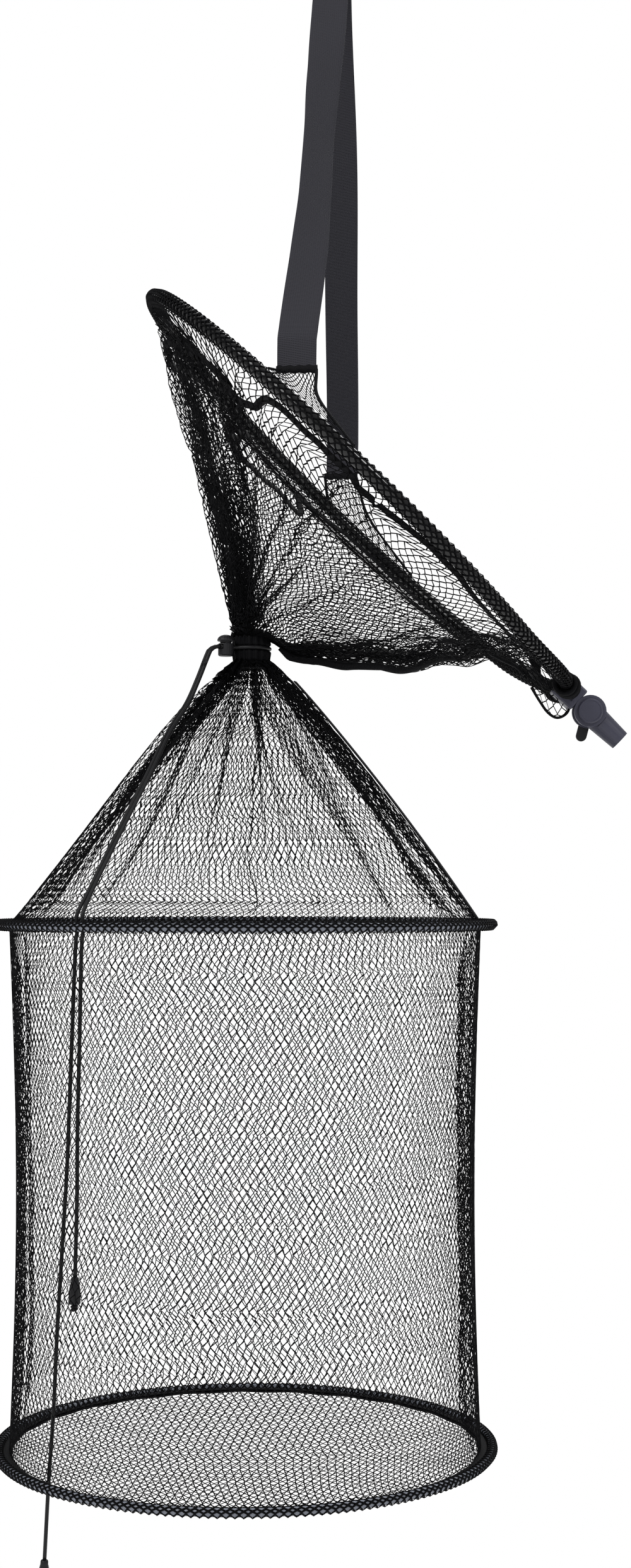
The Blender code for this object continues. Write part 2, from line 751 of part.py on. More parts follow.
def funnel_seam_tape():
    """The tape over the funnel's seam, along the slack lobe towards the angle lock."""
    off = NET_WALL / 2 + GAP + SEAM_WALL
    rows = []
    for share in FUNNEL_SHARES[1:-2]:
        rows.append([beside_funnel(0, share, off, SEAM_WIDTH * s) for s in (-0.5, 0.5)])
    return sheet("funnel_seam_tape", rows, HOOP_FRAME, BLACK_TAPE, SEAM_WALL)


# Angle lock

ALONG_Y = Matrix.Rotation(math.radians(-90), 4, "X")
ALONG_MINUS_Y = Matrix.Rotation(math.radians(90), 4, "X")
ALONG_X = Matrix.Rotation(math.radians(90), 4, "Y")


def yoke():
    """The moulded yoke: two tube sockets, side pockets and two round ears."""
    body_x = TOP_RADIUS - YOKE_BACK + YOKE_LENGTH / 2
    ob = block("yoke", (YOKE_LENGTH, YOKE_WIDTH, YOKE_HEIGHT), (body_x, 0, 0), HOOP_FRAME, MOULDED)
    bevel(ob, YOKE_EDGE, 2)
    at = Matrix.Translation((PIVOT_X, -YOKE_WIDTH / 2, 0)) @ ALONG_Y
    ears = drum("yoke_ears", EAR_RADIUS, EAR_RADIUS, YOKE_WIDTH, at, HOOP_FRAME, cutter=True, steps=32)
    boolean(ob, ears, "UNION")
    slot_back = PIVOT_X - BLOCK_ROOT_RADIUS - GAP
    slot_length = BLOCK_ROOT_RADIUS + EAR_RADIUS + GAP + OVERRUN
    slot = block(
        "yoke_slot",
        (slot_length, 2 * SLOT_HALF, 2 * EAR_RADIUS + OVERRUN),
        (slot_back + slot_length / 2, 0, 0),
        HOOP_FRAME,
        cutter=True,
    )
    boolean(ob, slot)
    at = Matrix.Translation((PIVOT_X, -YOKE_WIDTH / 2 - OVERRUN, 0)) @ ALONG_Y
    bore = drum(
        "yoke_bore",
        BOLT_RADIUS + GAP,
        BOLT_RADIUS + GAP,
        YOKE_WIDTH + 2 * OVERRUN,
        at,
        HOOP_FRAME,
        cutter=True,
        steps=16,
    )
    boolean(ob, bore)
    head_depth = BOLT_HEAD_HEIGHT + GAP
    at = Matrix.Translation((PIVOT_X, -YOKE_WIDTH / 2 + head_depth, 0)) @ ALONG_MINUS_Y
    radius = BOLT_HEAD_RADIUS + GAP
    head = drum("yoke_head_recess", radius, radius, head_depth + OVERRUN, at, HOOP_FRAME, cutter=True, steps=16)
    boolean(ob, head)
    for side in (-1, 1):
        start = side * (YOKE_WIDTH / 2 - TOP_TUBE_END_STRAIGHT)
        at = Matrix.Translation((TOP_RADIUS, start, 0)) @ (ALONG_Y if side > 0 else ALONG_MINUS_Y)
        radius = (TOP_TUBE_RADIUS + GAP) / CORNER
        socket = drum(
            f"yoke_socket_{side + 1}",
            radius,
            radius,
            TOP_TUBE_END_STRAIGHT + OVERRUN,
            at,
            HOOP_FRAME,
            cutter=True,
            steps=16,
        )
        boolean(ob, socket)
        pocket_x = TOP_RADIUS - YOKE_BACK + YOKE_LENGTH - POCKET_LENGTH / 2
        pocket = block(
            f"yoke_pocket_{side + 1}",
            (POCKET_LENGTH, 2 * POCKET_DEPTH, POCKET_HEIGHT),
            (pocket_x - EAR_WALL, side * YOKE_WIDTH / 2, 0),
            HOOP_FRAME,
            cutter=True,
        )
        boolean(ob, pocket)
    return smooth(ob)


def pivot_bolt():
    """The bolt through the ears, its head under the cap and its shank in the lever's hub."""
    head_low = YOKE_WIDTH / 2
    end = YOKE_WIDTH / 2 + LEVER_HUB_HEIGHT * 0.75
    shank_start = head_low - BOLT_HEAD_HEIGHT
    profile = [
        (0, head_low),
        (BOLT_HEAD_RADIUS, head_low),
        (BOLT_HEAD_RADIUS, shank_start),
        (BOLT_RADIUS, shank_start),
        (BOLT_RADIUS, -end),
        (0, -end),
    ]
    ob = revolved("pivot_bolt", profile, 16, PIVOT_FRAME, STEEL)
    ob.rotation_euler = (math.radians(90), 0, 0)
    return smooth(ob)


def pivot_cap():
    """The round cap over the bolt's head, with its raised rim and dished face."""
    low = YOKE_WIDTH / 2 + GAP
    high = low + CAP_HEIGHT
    rim = CAP_RADIUS - CAP_EDGE
    dish = rim - CAP_RIM_WIDTH
    profile = [
        (0, high - CAP_DISH),
        (dish, high - CAP_DISH),
        (dish + CAP_DISH, high),
        (rim, high),
        (CAP_RADIUS, high - CAP_EDGE),
        (CAP_RADIUS, low),
        (0, low),
    ]
    ob = revolved("pivot_cap", profile, 24, PIVOT_FRAME, MOULDED)
    ob.rotation_euler = (math.radians(90), 0, 0)
    return smooth(ob)


def thread_block():
    """The tapered boss that turns between the ears and takes the bank stick's thread."""
    reach = BLOCK_REACH
    ob = drum(
        "thread_block",
        BLOCK_ROOT_RADIUS,
        BLOCK_END_RADIUS,
        reach,
        ALONG_X,
        PIVOT_FRAME,
        MOULDED,
        steps=32,
    )
    at = Matrix.Translation((0, -BLOCK_HALF, 0)) @ ALONG_Y
    eye = drum(
        "block_eye", BLOCK_ROOT_RADIUS, BLOCK_ROOT_RADIUS, 2 * BLOCK_HALF, at, PIVOT_FRAME, cutter=True, steps=32
    )
    boolean(ob, eye, "UNION")
    cheek_length = EAR_RADIUS + GAP + BLOCK_ROOT_RADIUS + OVERRUN
    for side in (-1, 1):
        cheek = block(
            f"block_cheek_{side + 1}",
            (cheek_length, BLOCK_ROOT_RADIUS, 2 * EAR_RADIUS),
            (EAR_RADIUS + GAP - cheek_length / 2, side * (BLOCK_HALF + BLOCK_ROOT_RADIUS / 2), 0),
            PIVOT_FRAME,
            cutter=True,
        )
        boolean(ob, cheek)
    at = Matrix.Translation((0, -BLOCK_ROOT_RADIUS, 0)) @ ALONG_Y
    radius = BOLT_RADIUS + GAP
    bore = drum("block_bore", radius, radius, 2 * BLOCK_ROOT_RADIUS, at, PIVOT_FRAME, cutter=True, steps=16)
    boolean(ob, bore)
    at = Matrix.Translation((reach - SOCKET_DEPTH, 0, 0)) @ ALONG_X
    socket = drum(
        "block_socket",
        SOCKET_RADIUS,
        SOCKET_RADIUS,
        SOCKET_DEPTH + OVERRUN,
        at,
        PIVOT_FRAME,
        cutter=True,
        steps=SOCKET_STEPS,
    )
    boolean(ob, socket)
    return smooth(ob)


def thread_insert():
    """The brass insert in the boss, bored for the bank stick's thread."""
    out = (SOCKET_RADIUS - GAP) * math.cos(math.pi / SOCKET_STEPS)
    bore = out - INSERT_WALL
    high = BLOCK_REACH - GAP
    low = high - INSERT_DEPTH
    profile = [(bore, high), (out, high), (out, low), (bore, low)]
    ob = revolved("thread_insert", profile, SOCKET_STEPS, PIVOT_FRAME, BRASS, closed=True)
    ob.rotation_euler = (0, math.radians(90), 0)
    return smooth(ob)


def clamp_lever():
    """The lever nut on the far side that clamps the ears on the boss."""
    near = YOKE_WIDTH / 2 + GAP
    frame = PIVOT_FRAME
    at = Matrix.Translation((0, near, 0)) @ ALONG_Y
    ob = drum(
        "clamp_lever",
        LEVER_HUB_RADIUS,
        LEVER_HUB_RADIUS - CAP_EDGE,
        LEVER_HUB_HEIGHT,
        at,
        frame,
        DARK_MOULDED,
        steps=20,
    )
    turn = Matrix.Rotation(math.radians(LEVER_REST), 4, "Y")
    bm = bmesh.new()
    bmesh.ops.create_cube(bm, size=1)
    bmesh.ops.scale(bm, vec=(LEVER_REACH - LEVER_WIDTH / 2, LEVER_WALL, LEVER_WIDTH), verts=bm.verts)
    centre = ((LEVER_REACH - LEVER_WIDTH / 2) / 2, near + LEVER_WALL / 2, 0)
    bmesh.ops.translate(bm, vec=centre, verts=bm.verts)
    bmesh.ops.transform(bm, matrix=turn, verts=bm.verts)
    mesh = bpy.data.meshes.new("lever_arm")
    bm.to_mesh(mesh)
    bm.free()
    arm = hang(bpy.data.objects.new("lever_arm", mesh), frame, None, cutter=True)
    boolean(ob, arm, "UNION")
    at = turn @ Matrix.Translation((LEVER_REACH - LEVER_WIDTH / 2, near, 0)) @ ALONG_Y
    tip = drum("lever_tip", LEVER_WIDTH / 2, LEVER_WIDTH / 2, LEVER_WALL, at, frame, cutter=True, steps=16)
    boolean(ob, tip, "UNION")
    at = Matrix.Translation((0, near - OVERRUN, 0)) @ ALONG_Y
    radius = BOLT_RADIUS + GAP
    bore = drum("lever_bore", radius, radius, LEVER_HUB_HEIGHT + 2 * OVERRUN, at, frame, cutter=True, steps=16)
    boolean(ob, bore)
    return smooth(ob)


# Neck and cord lock


def neck_gather():
    """The gathered netting that the drawcord pinches."""
    mouth = math.radians(NECK_MOUTH_ANGLE)
    half = NECK_RADIUS * math.cos(mouth)
    rim = NECK_RADIUS * math.sin(mouth)
    cord_half = CORD_DIAMETER / 2 + GAP
    turn = math.radians(NECK_SWELL_ANGLE)
    swell = (NECK_RADIUS * math.sin(turn), NECK_RADIUS * math.cos(turn))
    upper = [
        (0, half),
        (rim, half),
        swell,
        (NECK_WAIST + CORD_DIAMETER / 3, cord_half + GAP),
        (NECK_WAIST, CORD_DIAMETER / 3),
    ]
    profile = upper + [(r, -z) for r, z in reversed(upper)]
    ob = revolved("neck_gather", profile, NECK_STEPS, NECK_FRAME, BLACK_NET)
    return smooth(ob, 60)


def neck_drawcord():
    """The cord round the neck, its two ends side by side into the cord lock."""
    half = TAIL_PITCH / 2
    turn_out = LOOP_RADIUS * TAIL_TURN_SHARE
    open_half = math.degrees(math.asin((half + turn_out) / (LOOP_RADIUS + turn_out)))
    join = LOOP_RADIUS * math.cos(math.radians(open_half))
    join += turn_out * math.cos(math.radians(open_half))
    points = []
    for side in (1, -1):
        leg = [Vector((TAIL_END, side * half, 0)), Vector((join + OVERRUN, side * half, 0))]
        centre = Vector((join, side * (half + turn_out), 0))
        for i in range(BEND_STEPS):
            turn = math.radians(90 - (90 - open_half) * i / BEND_STEPS)
            leg.append(centre - Vector((turn_out * math.cos(turn), side * turn_out * math.sin(turn), 0)))
        if side > 0:
            points += leg
            for i in range(LOOP_STEPS + 1):
                turn = math.radians(open_half + (360 - 2 * open_half) * i / LOOP_STEPS)
                points.append(Vector((math.cos(turn), math.sin(turn), 0)) * LOOP_RADIUS)
        else:
            points += reversed(leg)
    turn = Matrix.Rotation(math.radians(180 + LOCK_ANGLE), 3, "Z")
    return cord("neck_drawcord", [turn @ p for p in points], CORD_DIAMETER / 2, NECK_FRAME, GLOSS_CORD)


def cord_lock_barrel():
    """The cord lock's barrel, with its cross bore for the two cords."""
    inner = BARREL_RADIUS - BARREL_WALL
    floor = -BARREL_DEPTH + BARREL_FLOOR
    profile = [
        (0, floor),
        (inner, floor),
        (inner, BARREL_TOP),
        (BARREL_RADIUS - BARREL_WALL / 4, BARREL_TOP),
        (BARREL_RADIUS, BARREL_TOP - BARREL_WALL / 2),
        (BARREL_RADIUS, -BARREL_DEPTH + BARREL_FLOOR),
        (BARREL_RADIUS - BARREL_FLOOR, -BARREL_DEPTH),
        (0, -BARREL_DEPTH),
    ]
    ob = revolved("cord_lock_barrel", profile, 18, LOCK_FRAME, DARK_MOULDED)
    width = TAIL_PITCH + CORD_DIAMETER + 2 * BORE_SPARE
    height = CORD_DIAMETER + 2 * BORE_SPARE
    bore = block("lock_bore", (4 * BARREL_RADIUS, width, height), (0, 0, 0), LOCK_FRAME, cutter=True)
    boolean(ob, bore)
    return smooth(ob)


def cord_lock_button():
    """The domed button, its stem slotted for the cords."""
    stem = BARREL_RADIUS - BARREL_WALL - GAP
    low = -CORD_DIAMETER / 2 - BORE_SPARE - BUTTON_BAR
    dome_low = BARREL_TOP + BUTTON_TRAVEL + GAP
    profile = [(0, dome_low + BUTTON_HEIGHT)]
    for i in range(1, 7):
        turn = math.radians(i * 90 / 6)
        high = dome_low + CAP_EDGE + (BUTTON_HEIGHT - CAP_EDGE) * math.cos(turn)
        profile.append((BUTTON_RADIUS * math.sin(turn), high))
    profile += [
        (BUTTON_RADIUS - CAP_EDGE / 2, dome_low),
        (stem, dome_low),
        (stem, low),
        (0, low),
    ]
    ob = revolved("cord_lock_button", profile, 18, LOCK_FRAME, MOULDED)
    width = TAIL_PITCH + CORD_DIAMETER + 2 * BORE_SPARE
    bottom = -CORD_DIAMETER / 2 - BORE_SPARE
    height = CORD_DIAMETER + 2 * BORE_SPARE + BUTTON_TRAVEL
    slot = block(
        "button_slot", (4 * BARREL_RADIUS, width, height), (0, 0, bottom + height / 2), LOCK_FRAME, cutter=True
    )
    boolean(ob, slot)
    return smooth(ob)


def cord_lock_spring():
    """The coil spring between the barrel's floor and the button's stem."""
    low = -BARREL_DEPTH + BARREL_FLOOR + GAP + SPRING_WIRE
    high = -CORD_DIAMETER / 2 - BORE_SPARE - BUTTON_BAR - GAP - SPRING_WIRE
    count = round(SPRING_TURNS * SPRING_POINTS)
    points = []
    for i in range(count + 1):
        turn = 2 * math.pi * i / SPRING_POINTS
        at = low + (high - low) * i / count
        points.append((SPRING_RADIUS * math.cos(turn), SPRING_RADIUS * math.sin(turn), at))
    pitch = (high - low) / SPRING_TURNS
    print(f"spring: least gap between turns {1000 * (pitch - 2 * SPRING_WIRE):.2f} mm")
    return cord("cord_lock_spring", points, SPRING_WIRE, LOCK_FRAME, STEEL)


# Lower net


def net_place(angle, radius, height, centre_x):
    """A world point at an angle in degrees from +X round the lower net's axis."""
    turn = math.radians(angle)
    return Vector((centre_x + radius * math.cos(turn), radius * math.sin(turn), height))


def shoulder_place(angle, share, off=0.0, across=0.0):
    """A world point of the shoulder netting: share 0 at the neck and 1 at the middle hoop."""
    mouth = math.radians(NECK_MOUTH_ANGLE)
    top = NECK_Z - SOCKET_BALL * math.cos(mouth)
    low = MIDDLE_Z + TAPE_WALL / 2 + GAP
    start = SOCKET_BALL * math.sin(mouth)
    radius = start + (SHOULDER_RADIUS - start) * share**SHOULDER_FLARE
    turn = math.radians(angle)
    fade = math.sin(math.pi * share**0.5) ** 2
    radius += SHOULDER_FOLD_DEPTH * fade * math.sin(SHOULDER_FOLDS * turn)
    slope = math.atan2(top - low, SHOULDER_RADIUS - start)
    at = net_place(angle, radius, top + (low - top) * share, NECK_X + (NET_X - NECK_X) * share)
    out = Vector((math.cos(turn) * math.sin(slope), math.sin(turn) * math.sin(slope), math.cos(slope)))
    side = Vector((-math.sin(turn), math.cos(turn), 0))
    return at + out * off + side * across


def shoulder_net():
    """The netting from the neck to the middle hoop, with the slot where the cords pass in."""
    rows = []
    for share in SHOULDER_SHARES:
        rows.append([shoulder_place(angle, share) for angle in SHOULDER_ANGLES])
    every = len(SHOULDER_ANGLES) // SHOULDER_BARS
    ob = sheet("shoulder_net", rows, NECK_FRAME, BLACK_NET, NET_WALL, True, SHOULDER_OPEN_ROWS, every)
    place = Vector((NET_X - NECK_X, 0, MIDDLE_Z - NECK_Z))
    angle = math.radians(-90 - SLOT_ANGLE)
    bm = bmesh.new()
    bmesh.ops.create_cube(bm, size=1)
    bmesh.ops.scale(bm, vec=(SLOT_REACH, SLOT_WIDTH, 2 * SLOT_HEIGHT), verts=bm.verts)
    bmesh.ops.translate(bm, vec=(SHOULDER_RADIUS, 0, 0), verts=bm.verts)
    turned_in = Matrix.Translation(place) @ Matrix.Rotation(angle, 4, "Z")
    bmesh.ops.transform(bm, matrix=turned_in, verts=bm.verts)
    mesh = bpy.data.meshes.new("cord_slot")
    bm.to_mesh(mesh)
    bm.free()
    slot = hang(bpy.data.objects.new("cord_slot", mesh), NECK_FRAME, None, cutter=True)
    boolean(ob, slot)
    return ob


def shoulder_seam_tape():
    """The tape over the shoulder's seam."""
    off = NET_WALL / 2 + GAP + SEAM_WALL
    step = 180 / len(SHOULDER_ANGLES)
    across = shoulder_place(SHOULDER_SEAM_ANGLE + step, 1) - shoulder_place(SHOULDER_SEAM_ANGLE - step, 1)
    across = across.normalized() * SEAM_WIDTH
    rows = []
    for share in SHOULDER_SHARES[2:-1] + (SHOULDER_SEAM_END_SHARE,):
        lift = shoulder_place(SHOULDER_SEAM_ANGLE, share, off) - shoulder_place(SHOULDER_SEAM_ANGLE, share)
        middle = on_faces(shoulder_place, SHOULDER_ANGLES, SHOULDER_SHARES, SHOULDER_SEAM_ANGLE, share) + lift
        rows.append([middle + across * s for s in (-0.5, 0.5)])
    return sheet("shoulder_seam_tape", rows, NECK_FRAME, BLACK_TAPE, SEAM_WALL)


def body_place(angle, share, off=0.0, across=0.0):
    """A world point of the body netting: share 0 at the middle hoop and 1 at the bottom hoop."""
    top = MIDDLE_Z - TAPE_WALL / 2 - GAP
    low = BOTTOM_Z + TAPE_WALL / 2 + GAP
    turn = math.radians(angle)
    belly = math.sin(math.pi * share)
    radius = BODY_RADIUS * (1 - BODY_WAIST_SHARE * belly)
    radius += BODY_FOLD_DEPTH * belly * math.sin(BODY_FOLDS * turn) + off
    side = Vector((-math.sin(turn), math.cos(turn), 0))
    return net_place(angle, radius, top + (low - top) * share, NET_X) + side * across


def body_net():
    """The cylinder of netting between the two lower hoops."""
    pitch = (1 - BODY_RAIL_SHARE) / BODY_OPEN_ROWS
    shares = []
    for rail in range(BODY_OPEN_ROWS + 1):
        shares += [rail * pitch, rail * pitch + BODY_RAIL_SHARE]
    rows = [[body_place(angle, share) for angle in BODY_ANGLES] for share in shares]
    open_rows = range(1, len(shares) - 1, 2)
    every = len(BODY_ANGLES) // BODY_BARS
    return sheet("body_net", rows, MIDDLE_FRAME, BLACK_NET, NET_WALL, True, open_rows, every)


def body_seam_tape():
    """The tape down the body's side seam, on the inner face of the netting."""
    off = -(NET_WALL / 2 + GAP + SEAM_WALL)
    rows = []
    for r in range(2 * BODY_OPEN_ROWS + 1):
        share = BODY_SEAM_START + (1 - 2 * BODY_SEAM_START) * r / (2 * BODY_OPEN_ROWS)
        rows.append([body_place(BODY_SEAM_ANGLE, share, off, SEAM_WIDTH * s) for s in (-0.5, 0.5)])
    return sheet("body_seam_tape", rows, MIDDLE_FRAME, BLACK_TAPE, SEAM_WALL)


def lower_hoop(name, frame):
    """A lower hoop's tube, its netting sleeve and the tape inside it."""
    bpy.ops.mesh.primitive_torus_add(
        major_segments=HOOP_STEPS,
        minor_segments=SIDES,
        major_radius=HOOP_RADIUS,
        minor_radius=HOOP_TUBE_RADIUS,
    )
    tube = bpy.context.object
    tube.name = f"{name}_hoop_tube"
    tube.data.name = tube.name
    hang(tube, frame, PALE_TUBE)
    smooth(tube, 60)
    profile = sleeve_profile(HOOP_RADIUS, HOOP_SLEEVE_RADIUS, 180)
    sleeve = revolved(f"{name}_hoop_sleeve", profile, HOOP_STEPS, frame, BLACK_NET)
    solidify(sleeve, SLEEVE_WALL)
    smooth(sleeve, 60)
    out = HOOP_RADIUS - HOOP_TUBE_RADIUS - GAP
    low, high = -TAPE_WALL / 2, TAPE_WALL / 2
    profile = [(out - TAPE_WIDTH, high), (out, high), (out, low), (out - TAPE_WIDTH, low)]
    tape = revolved(f"{name}_hoop_tape", profile, HOOP_STEPS, frame, BLACK_TAPE, closed=True)
    smooth(tape)


def floor_net():
    """The flat floor: a ring of long gaps round rows of diamond gaps."""
    step = 360 / FLOOR_SPOKES
    points, faces = [], []

    def knot(radius, angle):
        points.append((radius * math.cos(math.radians(angle)), radius * math.sin(math.radians(angle)), 0))
        return len(points) - 1

    first = -90 - FLOOR_PHASE
    half = FLOOR_STRAND / 2

    def ring(radius):
        """Corners beside each rib and halfway between ribs."""
        made = []
        spread = math.degrees(half / radius)
        for k in range(FLOOR_SPOKES):
            angle = first - k * step
            made += [knot(radius, angle + turn) for turn in (spread, 0, -spread, -step / 2)]
        return made

    def band(outer, inner, ribs_only=False):
        count = len(outer)
        for i in range(count):
            j = (i + 1) % count
            if not ribs_only or i % 4 < 2:
                faces.append((outer[i], outer[j], inner[j], inner[i]))

    rings = [ring(r) for r in (FLOOR_RIM_OUT, FLOOR_RIM_IN, FLOOR_BAND_OUT, FLOOR_BAND_IN)]
    band(rings[0], rings[1])
    band(rings[1], rings[2], ribs_only=True)
    band(rings[2], rings[3])

    def corners(radius, angle, scale):
        """The four corners of a knot: out, clockwise, in and anticlockwise."""
        reach = half * 2**0.5 * scale
        spread = math.degrees(reach / radius)
        return (
            knot(radius + reach, angle),
            knot(radius, angle - spread),
            knot(radius - reach, angle),
            knot(radius, angle + spread),
        )

    rows = []
    radius = FLOOR_BAND_IN
    for row in range(1, FLOOR_ROWS + 1):
        radius *= FLOOR_ROW_SHARE
        scale = max(FLOOR_LEAST_SCALE, radius / FLOOR_BAND_IN)
        shift = step / 2 if row % 2 else 0
        rows.append([corners(radius, first - k * step - shift, scale) for k in range(FLOOR_SPOKES)])
    centre = [
        knot(radius * FLOOR_ROW_SHARE, first - k * step - (step / 2 if (FLOOR_ROWS + 1) % 2 else 0))
        for k in range(FLOOR_SPOKES)
    ]
    for row, knots in enumerate(rows, 1):
        for k, (out, right, inner, left) in enumerate(knots):
            faces.append((out, left, inner, right))
            after = (k + 1) % FLOOR_SPOKES
            if row == 1:
                a, b = rings[3][4 * k + 1 : 4 * k + 3]
                c, d = rings[3][4 * after : 4 * after + 2]
                faces.append((a, b, out, left))
                faces.append((c, d, right, out))
            else:
                shifted = row % 2
                # the knots of the row outside that lie to either side
                before = k if shifted else (k - 1) % FLOOR_SPOKES
                beyond = (k + 1) % FLOOR_SPOKES if shifted else k
                o_out, o_right, o_in, o_left = rows[row - 2][before]
                faces.append((o_in, o_right, out, left))
                p_out, p_right, p_in, p_left = rows[row - 2][beyond]
                faces.append((p_left, p_in, right, out))
    last = rows[-1]
    shifted = FLOOR_ROWS % 2
    hub = knot(0, 0)
    for k in range(FLOOR_SPOKES):
        after = (k + 1) % FLOOR_SPOKES
        faces.append((centre[k], centre[after], hub))
    for k, (out, right, inner, left) in enumerate(last):
        a = centre[k if shifted else (k - 1) % FLOOR_SPOKES]
        b = centre[(k + 1) % FLOOR_SPOKES if shifted else k]
        faces.append((left, inner, a))
        faces.append((inner, right, b))
        faces.append((a, inner, b))
    ob = from_faces("floor_net", points, faces, BOTTOM_FRAME, BLACK_NET)
    ob.location = (0, 0, -TAPE_WALL / 2 - GAP - FLOOR_WALL / 2)
    bm = bmesh.new()
    bm.from_mesh(ob.data)
    bmesh.ops.recalc_face_normals(bm, faces=bm.faces)
    bm.to_mesh(ob.data)
    bm.free()
    solidify(ob, FLOOR_WALL)
    return ob


# Free cords


def free_cords():
    """The two cords from the lock down the shoulder and inside the body, with their ends."""
    exit_x = BARREL_RADIUS + GAP
    for name, side, inward, route in (
        ("a", 1, CORD_A_IN, CORD_A_ROUTE),
        ("b", -1, CORD_B_IN, CORD_B_ROUTE),
    ):
        apart = side * TAIL_PITCH / 2
        lead = [LOCK_FRAME.world @ Vector((x, apart, 0)) for x in (exit_x, exit_x + CORD_OUT)]
        for place in CORD_FREE:
            out = Vector(place) - NECK
            lead.append(Vector(place) + Vector((-out.y, out.x, 0)).normalized() * apart)
        lead += [shoulder_place(angle, share, CORD_OFF, apart) for angle, share in CORD_DOWN]
        lead += [net_place(*place, NET_X) for place in inward]
        points = lead[:1] + smooth_route(lead[1:], CORD_SPACING)
        cord(f"cord_{name}_upper", NECK_FRAME.local(points), CORD_DIAMETER / 2, NECK_FRAME, GLOSS_CORD)
        way = (points[-1] - points[-2]).normalized()
        top = points[-1] + way * GAP
        points = smooth_route([top, top + way * CORD_DIAMETER] + [Vector(p) for p in route], CORD_SPACING)
        points = [top, top + way * CORD_DIAMETER / 2] + points[1:]
        cord(f"cord_{name}_lower", MIDDLE_FRAME.local(points), CORD_DIAMETER / 2, MIDDLE_FRAME, GLOSS_CORD)
        way = (points[-1] - points[-2]).normalized()
        cord_end(name, points[-1], way)


def cord_end(name, at, way):
    """The moulded bell on a cord's end and the knot that keeps it on."""
    place = MIDDLE_FRAME.local([at])[0]
    turn = way.to_track_quat("-Z", "Y").to_matrix().to_4x4()
    slim = BELL_RADIUS * BELL_NECK_SHARE
    top = -GAP
    profile = [
        (slim * 0.8, top),
        (slim, top - CAP_EDGE),
        (slim, top - BELL_LENGTH * 0.2),
        (BELL_RADIUS * 0.95, top - BELL_LENGTH * 0.5),
        (BELL_RADIUS, top - BELL_LENGTH + CAP_EDGE),
        (BELL_RADIUS - CAP_EDGE, top - BELL_LENGTH),
        (BELL_BORE, top - BELL_LENGTH),
        (BELL_BORE * 0.8, top - BELL_LENGTH * 0.6),
        (0, top - BELL_LENGTH * 0.6),
    ]
    ob = revolved(f"cord_{name}_bell", [(0, top)] + profile, 12, MIDDLE_FRAME, DARK_MOULDED)
    ob.location = place
    ob.rotation_euler = turn.to_euler()
    smooth(ob)
    low = top - BELL_LENGTH - GAP
    profile = [(0, low)]
    for i in range(1, 6):
        angle = math.radians(30 * i)
        profile.append((KNOT_RADIUS * math.sin(angle), low - KNOT_LENGTH * (1 - math.cos(angle)) / 2))
    profile.append((0, low - KNOT_LENGTH))
    knot = revolved(f"cord_{name}_knot", profile, 10, MIDDLE_FRAME, GLOSS_CORD)
    knot.location = place
    knot.rotation_euler = turn.to_euler()
    smooth(knot, 60)


def build():
    """Make every piece of the net."""
    strap_webbing()
    hoop_tube()
    hoop_sleeve()
    gusset("gusset_near", -1, NEAR_GUSSET_ANGLES)
    gusset("gusset_far", 1, FAR_GUSSET_ANGLES)
    funnel_net()
    hem_tape()
    funnel_seam_tape()
    yoke()
    pivot_bolt()
    pivot_cap()
    thread_block()
    thread_insert()
    clamp_lever()
    neck_gather()
    neck_drawcord()
    cord_lock_barrel()
    cord_lock_button()
    cord_lock_spring()
    shoulder_net()
    shoulder_seam_tape()
    lower_hoop("middle", MIDDLE_FRAME)
    body_net()
    body_seam_tape()
    lower_hoop("bottom", BOTTOM_FRAME)
    floor_net()
    free_cords()


build()
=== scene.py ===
"""A keep net in black netting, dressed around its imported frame. Metres, +Z up."""

import math

import bpy
import numpy as np
from mathutils import Euler, Matrix, Vector


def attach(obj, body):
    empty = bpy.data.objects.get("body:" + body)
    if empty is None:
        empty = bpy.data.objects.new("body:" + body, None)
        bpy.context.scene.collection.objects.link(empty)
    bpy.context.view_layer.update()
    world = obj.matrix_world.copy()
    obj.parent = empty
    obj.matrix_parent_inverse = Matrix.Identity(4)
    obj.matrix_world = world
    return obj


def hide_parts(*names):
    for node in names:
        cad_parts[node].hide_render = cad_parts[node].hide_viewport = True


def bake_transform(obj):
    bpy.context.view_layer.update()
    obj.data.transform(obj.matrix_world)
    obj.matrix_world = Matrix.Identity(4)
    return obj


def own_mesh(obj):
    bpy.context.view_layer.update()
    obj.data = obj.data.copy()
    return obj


bl_info = {
    "name": "Keep net",
    "version": (1, 0, 0),
    "blender": (4, 5, 0),
    "location": "3D View > Sidebar > Keep net",
    "description": "Models the netting, webbing, cords, hoops and fittings of a keep net",
    "category": "Add Mesh",
}

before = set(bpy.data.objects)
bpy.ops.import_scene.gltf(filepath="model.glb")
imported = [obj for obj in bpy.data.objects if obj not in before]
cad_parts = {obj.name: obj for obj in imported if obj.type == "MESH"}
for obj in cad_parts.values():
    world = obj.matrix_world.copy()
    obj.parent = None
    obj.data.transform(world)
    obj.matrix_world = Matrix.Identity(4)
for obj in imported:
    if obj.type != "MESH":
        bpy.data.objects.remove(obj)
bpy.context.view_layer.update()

# Places that the frame sets
STRAP_END = (-0.0096, 0, -0.361)
STRAP_SKEW = -5.1
STRAP_HALF = 0.2008
STRAP_BEND = 0.007  # inside the top of the loop
HOOP_CENTRE = (0.0227, 0, -0.4217)
HOOP_TURN = (2.7, 43.3, 0.0)
HOOP_RADIUS = 0.225
HOOP_SAG = 0.0055  # how far the top hoop bows down between the yoke and the far end
NECK = np.array((-0.0655, 0.0, -0.5435))
NECK_WAIST = 0.0128
NET_X = -0.070
MIDDLE_Z = -0.764
BOTTOM_Z = -1.1804
RING_RADIUS = 0.1968
SHOULDER_RADIUS = 0.1885
BODY_RADIUS = 0.1878
BODY_WAIST_SHARE = 0.026
